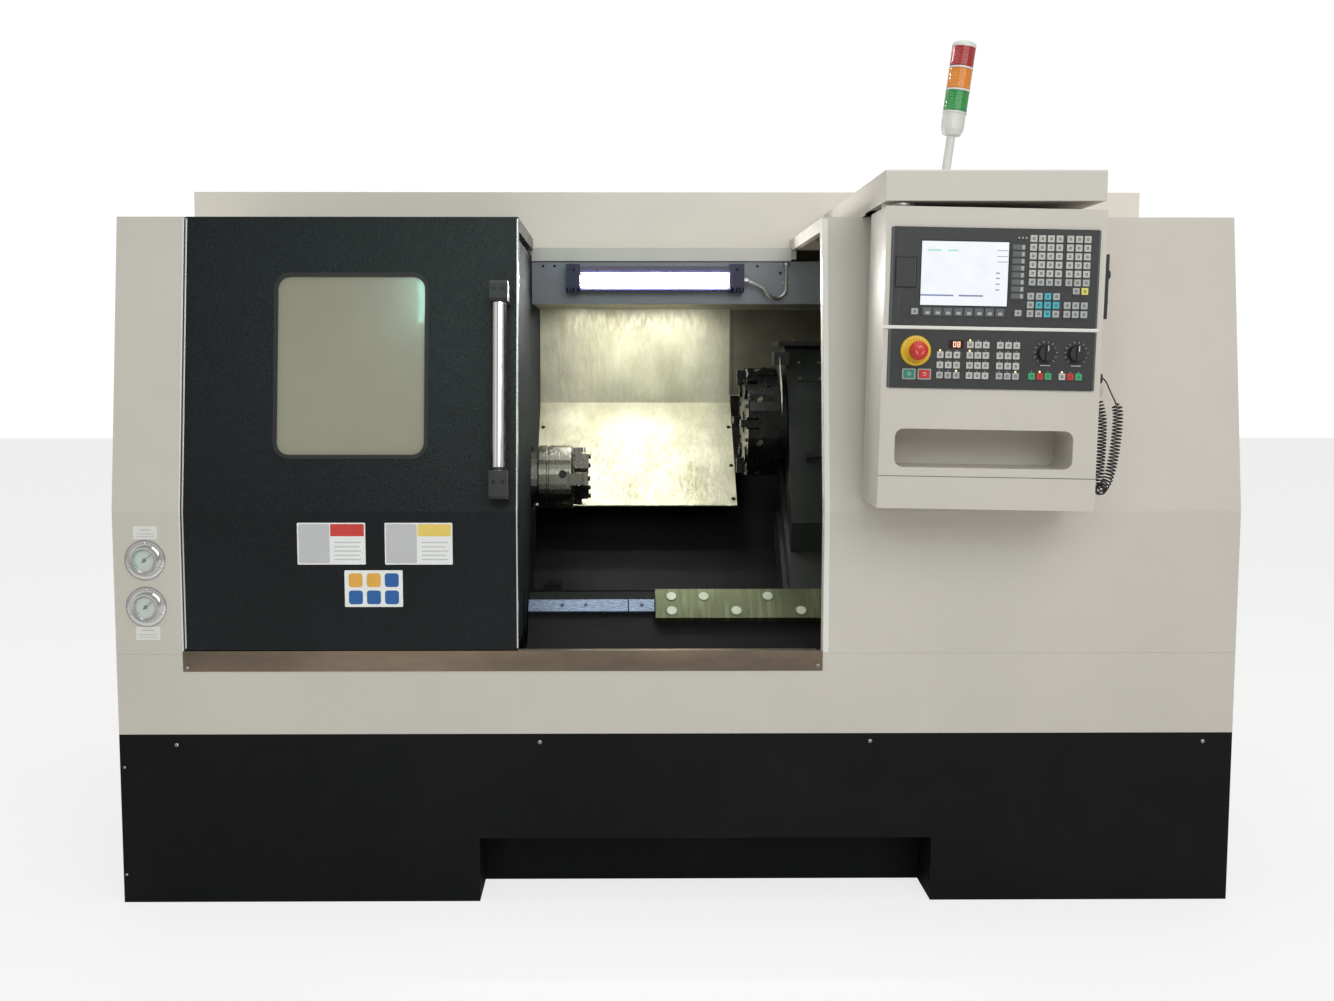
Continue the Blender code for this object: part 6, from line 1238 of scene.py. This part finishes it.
coverPlate = Matrix.Translation(at(0.3803, 0.700, 1.193)) @ Matrix.Rotation(math.radians(55), 4, "X")
roundCap = Matrix.Translation(at(0.4273, 0.612, 0.980)) @ Matrix.Rotation(math.radians(74), 4, "X")
guards = {"screw": 0.0042, "plateX": 0.027, "plateY": 0.026, "capRing": 0.0282, "capScrew": 0.0022, "left": 0.2995,
          "sheet": 0.0016}
bm = bmesh.new()
for y in (guards["plateY"], -guards["plateY"]):
    for x in (-guards["plateX"], guards["plateX"]):
        addCapScrew(bm, (x, y, 0.003), upWay, guards["screw"], 1, coverPlate)
addTurned(bm, [(0.0, 0.0006), (0.024, 0.0006), (0.0246, 0.0012), (0.0318, 0.0012), (0.0334, 0.0),
               (0.0334, -0.002)], (0, 0, 0.0142), upWay, 40, 0, roundCap)
for angle in map(math.radians, range(40, 400, 90)):
    addCapScrew(bm, (guards["capRing"] * math.cos(angle), guards["capRing"] * math.sin(angle), 0.0153), upWay,
                guards["capScrew"], 1, roundCap)
# a thin pale sheet along the housing's front-left edge: painted highlight of that edge
addOutline(bm, [(frontY + d, z) for d, z in ((0.642, 1.078), (0.626, 1.094), (0.640, 1.152), (0.700, 1.232),
                                            (0.712, 1.226), (0.664, 1.152), (0.656, 1.084))],
           "X", guards["left"], guards["left"] + guards["sheet"], 0.0003, 2)
addTurned(bm, [(0.0, 0.062), (0.0050, 0.062), (0.0062, 0.0606), (0.0062, 0.016), (0.0086, 0.015), (0.0086, 0.0),
               (0.0, 0.0)], at(0.360, 0.578, 0.9735), rightWay, 24, 3)
for x in (0.366, 0.412):
    addBox(bm, at(x - 0.006, 0.572, 0.9645), at(x + 0.006, 0.612, 0.9825), 0.0015)
for x in (0.345, 0.400, 0.455, 0.560, 0.640):
    addCapScrew(bm, at(x, 0.762, 1.2752), upWay, guards["screw"], 1)
addBox(bm, at(0.3015, 0.7435, 1.2653), at(0.668, 0.7449, 1.2745), 0.0006, 3)
addBox(bm, at(0.3195, 0.6235, 1.0985), at(0.656, 0.6262, 1.1012), 0.0006)
toPiece("turretGuards", bm, "cross_slide", darkCasting, plugRim, bladePaintedHighlight, chuteSteel)

# the work lamp's light reaches the folded sheets from under their lid
softLamp("workLampBelow", at(-0.085, 0.86, 1.366), at(-0.085, 0.90, 0.9), (0.40, 0.22), 3.6, (1.0, 1.0, 0.95))

print("tower, roof and covers")
tower = {"foot": at(0.586, 0.05, 1.607), "lean": 7.4, "notches": 6, "notchFront": 0.0252, "screwX": (0.563, 0.609),
         "screwDepth": (0.028, 0.072), "screwZ": 1.615, "screw": 0.0026}
towerPlace = Matrix.Translation(tower["foot"]) @ Matrix.Rotation(math.radians(tower["lean"]), 4, "Y")
onAxis = (0, 0, 0)
lens = {"foot": 0.155, "tall": 0.048, "ring": 0.0262, "inner": 0.020}
inner, ring = lens["inner"], lens["ring"]
bm = bmesh.new()
for i in range(3):
    z = lens["foot"] + lens["tall"] * i
    addTurned(bm, [(inner, z - 0.0018), (ring, z - 0.0018), (ring + 0.0003, z), (ring, z + 0.0022),
                   (inner, z + 0.0022)], onAxis, upWay, 48, 0, towerPlace)
crown = lens["foot"] + lens["tall"] * 3
addTurned(bm, [(0.0, crown + 0.0112), (0.0134, crown + 0.0110), (0.0182, crown + 0.0094),
               (0.0230, crown + 0.0074), (0.0256, crown + 0.0044), (ring, crown + 0.0008),
               (ring, crown - 0.0030), (0.0240, crown - 0.0034)], onAxis, upWay, 48, 0, towerPlace)
addTurned(bm, [(0.0098, 0.010), (0.0145, 0.010), (0.0160, 0.013), (0.0160, 0.017), (0.0120, 0.024),
               (0.0098, 0.026)], onAxis, upWay, 32, 0, towerPlace)
for turn in around(onAxis, tower["notches"], "Z", towerPlace):
    addBox(bm, (0.0245, -0.0016, lens["foot"] - 0.030), (tower["notchFront"], 0.0016, lens["foot"] - 0.010),
           0.0003, 0, turn)
toPiece("towerRings", bm, "machine", ivoryPlastic, smooth=40)
bm = bmesh.new()
for depth in tower["screwDepth"]:
    for x in tower["screwX"]:
        addPanScrew(bm, at(x, depth, tower["screwZ"]), upWay, tower["screw"])
toPiece("towerScrews", bm, "machine", brushedSteel, markDark)


def spread(low, high, margin, count):
    # places at even steps between two ends, the first and last a margin in
    return [low + margin + (high - low - 2 * margin) * i / (count - 1) for i in range(count)]


cover = {"screw": 0.0055, "sideIn": 0.03, "endIn": 0.018, "across": 9, "up": 5, "roofSideIn": 0.05,
         "roofAcross": 7, "roofIn": 0.022, "roofDown": 0.03}
rearLow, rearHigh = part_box("rear_cover")
roofLow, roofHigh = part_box("roof_cover")
bm = bmesh.new()
for row, z in enumerate((rearLow.z + cover["endIn"], rearHigh.z - cover["endIn"])):
    for i, x in enumerate(spread(rearLow.x, rearHigh.x, cover["sideIn"], cover["across"])):
        addPanScrew(bm, (x, rearHigh.y, z), backWay, cover["screw"], turn=0.4 * i + row)
for x in (rearLow.x + cover["sideIn"], rearHigh.x - cover["sideIn"]):
    for i, z in list(enumerate(spread(rearLow.z, rearHigh.z, cover["endIn"], cover["up"])))[1:-1]:
        addPanScrew(bm, (x, rearHigh.y, z), backWay, cover["screw"], turn=0.7 * i)
for i, x in enumerate(spread(roofLow.x, roofHigh.x, cover["roofSideIn"], cover["roofAcross"])):
    addPanScrew(bm, (x, roofHigh.y - cover["roofIn"], roofHigh.z), upWay, cover["screw"], turn=0.5 * i)
    addPanScrew(bm, (x, roofHigh.y, roofHigh.z - cover["roofDown"]), backWay, cover["screw"], turn=0.3 * i)
toPiece("coverScrews", bm, "machine", railSteel, markDark)

boxLow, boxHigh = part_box("electrical_cabinet")
panelLow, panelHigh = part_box("cabinet_door")
hinge = {"radius": 0.0062, "tall": 0.075, "leaf": 0.024, "thick": 0.0022, "knuckles": 3, "screw": 0.0032,
         "screwIn": 0.014, "screwPitch": 0.024}
radius, barrel = hinge["radius"], hinge["tall"] / hinge["knuckles"]
leafX = boxHigh.x + hinge["thick"]
bm = bmesh.new()
for share in (0.12, 0.5, 0.88):
    z = boxLow.z + (boxHigh.z - boxLow.z) * share
    x, y = boxHigh.x + radius * 0.7, boxHigh.y - radius
    for knuckle in range(hinge["knuckles"]):
        low = z - hinge["tall"] / 2 + barrel * knuckle
        addTurned(bm, [(0.0, 0.0004), (radius - 0.0006, 0.0004), (radius, 0.001), (radius, barrel - 0.001),
                       (radius - 0.0006, barrel - 0.0004), (0.0, barrel - 0.0004)], (x, y, low), upWay, 20)
    addBox(bm, (boxHigh.x, y - hinge["leaf"], z - hinge["tall"] / 2), (leafX, y, z + hinge["tall"] / 2), 0.0006)
    for shift in (-hinge["screwPitch"], 0.0, hinge["screwPitch"]):
        addPanScrew(bm, (leafX, y - hinge["screwIn"], z + shift), rightWay, hinge["screw"], 1)
toPiece("cabinetHinges", bm, "machine", brushedSteel, railSteel, markDark)

louvre = {"left": panelLow.x + 0.3006, "right": panelHigh.x - 0.3006, "first": panelLow.z + 0.1072,
          "pitch": 0.028, "count": 7, "sink": 0.0034, "lean": -38}
bm = bmesh.new()
for i in range(louvre["count"]):
    foot = Matrix.Translation((0, panelHigh.y - louvre["sink"], louvre["first"] + louvre["pitch"] * i))
    addBox(bm, (louvre["left"], -0.0095, -0.0010), (louvre["right"], 0.0006, 0.0002), 0.0003, 0,
           foot @ Matrix.Rotation(math.radians(louvre["lean"]), 4, "X"))
toPiece("louvreBlades", bm, "cabinet_door", creamPaint)

cabinet = {"edge": 0.02, "screw": 0.0045, "sealIn": 0.0135, "seal": 0.010}
sealIn = cabinet["sealIn"]
bm = bmesh.new()
for x in spread(boxLow.x, boxHigh.x, cabinet["edge"], 3):
    for share in (0.14, 0.86):
        y = boxLow.y + (boxHigh.y - boxLow.y) * share
        addPanScrew(bm, (x, y, boxHigh.z), upWay, cabinet["screw"], turn=x * 3 + share)
for share in (0.1, 0.37, 0.63, 0.9):
    z = boxLow.z + (boxHigh.z - boxLow.z) * share
    addPanScrew(bm, (boxLow.x, boxLow.y + cabinet["edge"], z), leftWay, cabinet["screw"], turn=share * 5)
addFrame(bm, (panelLow.x + sealIn, panelLow.z + sealIn, panelHigh.x - sealIn, panelHigh.z - sealIn),
         cabinet["seal"], "Y", boxHigh.y - 0.0002, boxHigh.y + 0.0001, 0.004, 2)
toPiece("cabinetTrim", bm, "machine", railSteel, markDark, blackRubber)

# the coolant pump's cooling fins and foot screws, and the tank's lid screws and hatch
pump = {"foot": at(-0.65, 1.265, 0.0), "radius": 0.055, "fins": 9, "firstFin": 0.251, "finPitch": 0.0105,
        "finOut": 0.0036, "screwRing": 0.069, "screwZ": 0.2301, "screw": 0.0050, "firstScrew": 0.5}
tank = {"top": 0.22, "screwX": (-0.775, -0.48, -0.325, -0.175), "screwDepth": 1.191, "screw": 0.0042,
        "hatch": (-0.452, yAt(1.198), -0.178, yAt(1.342))}
radius, finEdge = pump["radius"] - 0.002, pump["radius"] + pump["finOut"]
bm = bmesh.new()
for i in range(pump["fins"]):
    z = pump["firstFin"] + pump["finPitch"] * i
    addTurned(bm, [(radius, z - 0.0016), (finEdge, z - 0.0010), (finEdge, z + 0.0010), (radius, z + 0.0016)],
              pump["foot"], upWay, 40)
for turn in around(pump["foot"], 4, "Z", start=pump["firstScrew"]):
    addCapScrew(bm, turn @ Vector((pump["screwRing"], 0, pump["screwZ"])), upWay, pump["screw"], 1)
for x in tank["screwX"]:
    addPanScrew(bm, at(x, tank["screwDepth"], tank["top"]), upWay, tank["screw"], 1)
addFrame(bm, tank["hatch"], 0.010, "X", 0.0, 0.0022, 0.006, 2,
         Matrix(((0, 1, 0, 0), (0, 0, 1, 0), (1, 0, 0, tank["top"]), (0, 0, 0, 1))))
toPiece("tankDetails", bm, "machine", basePaint, railSteel, markDark)

print("done")
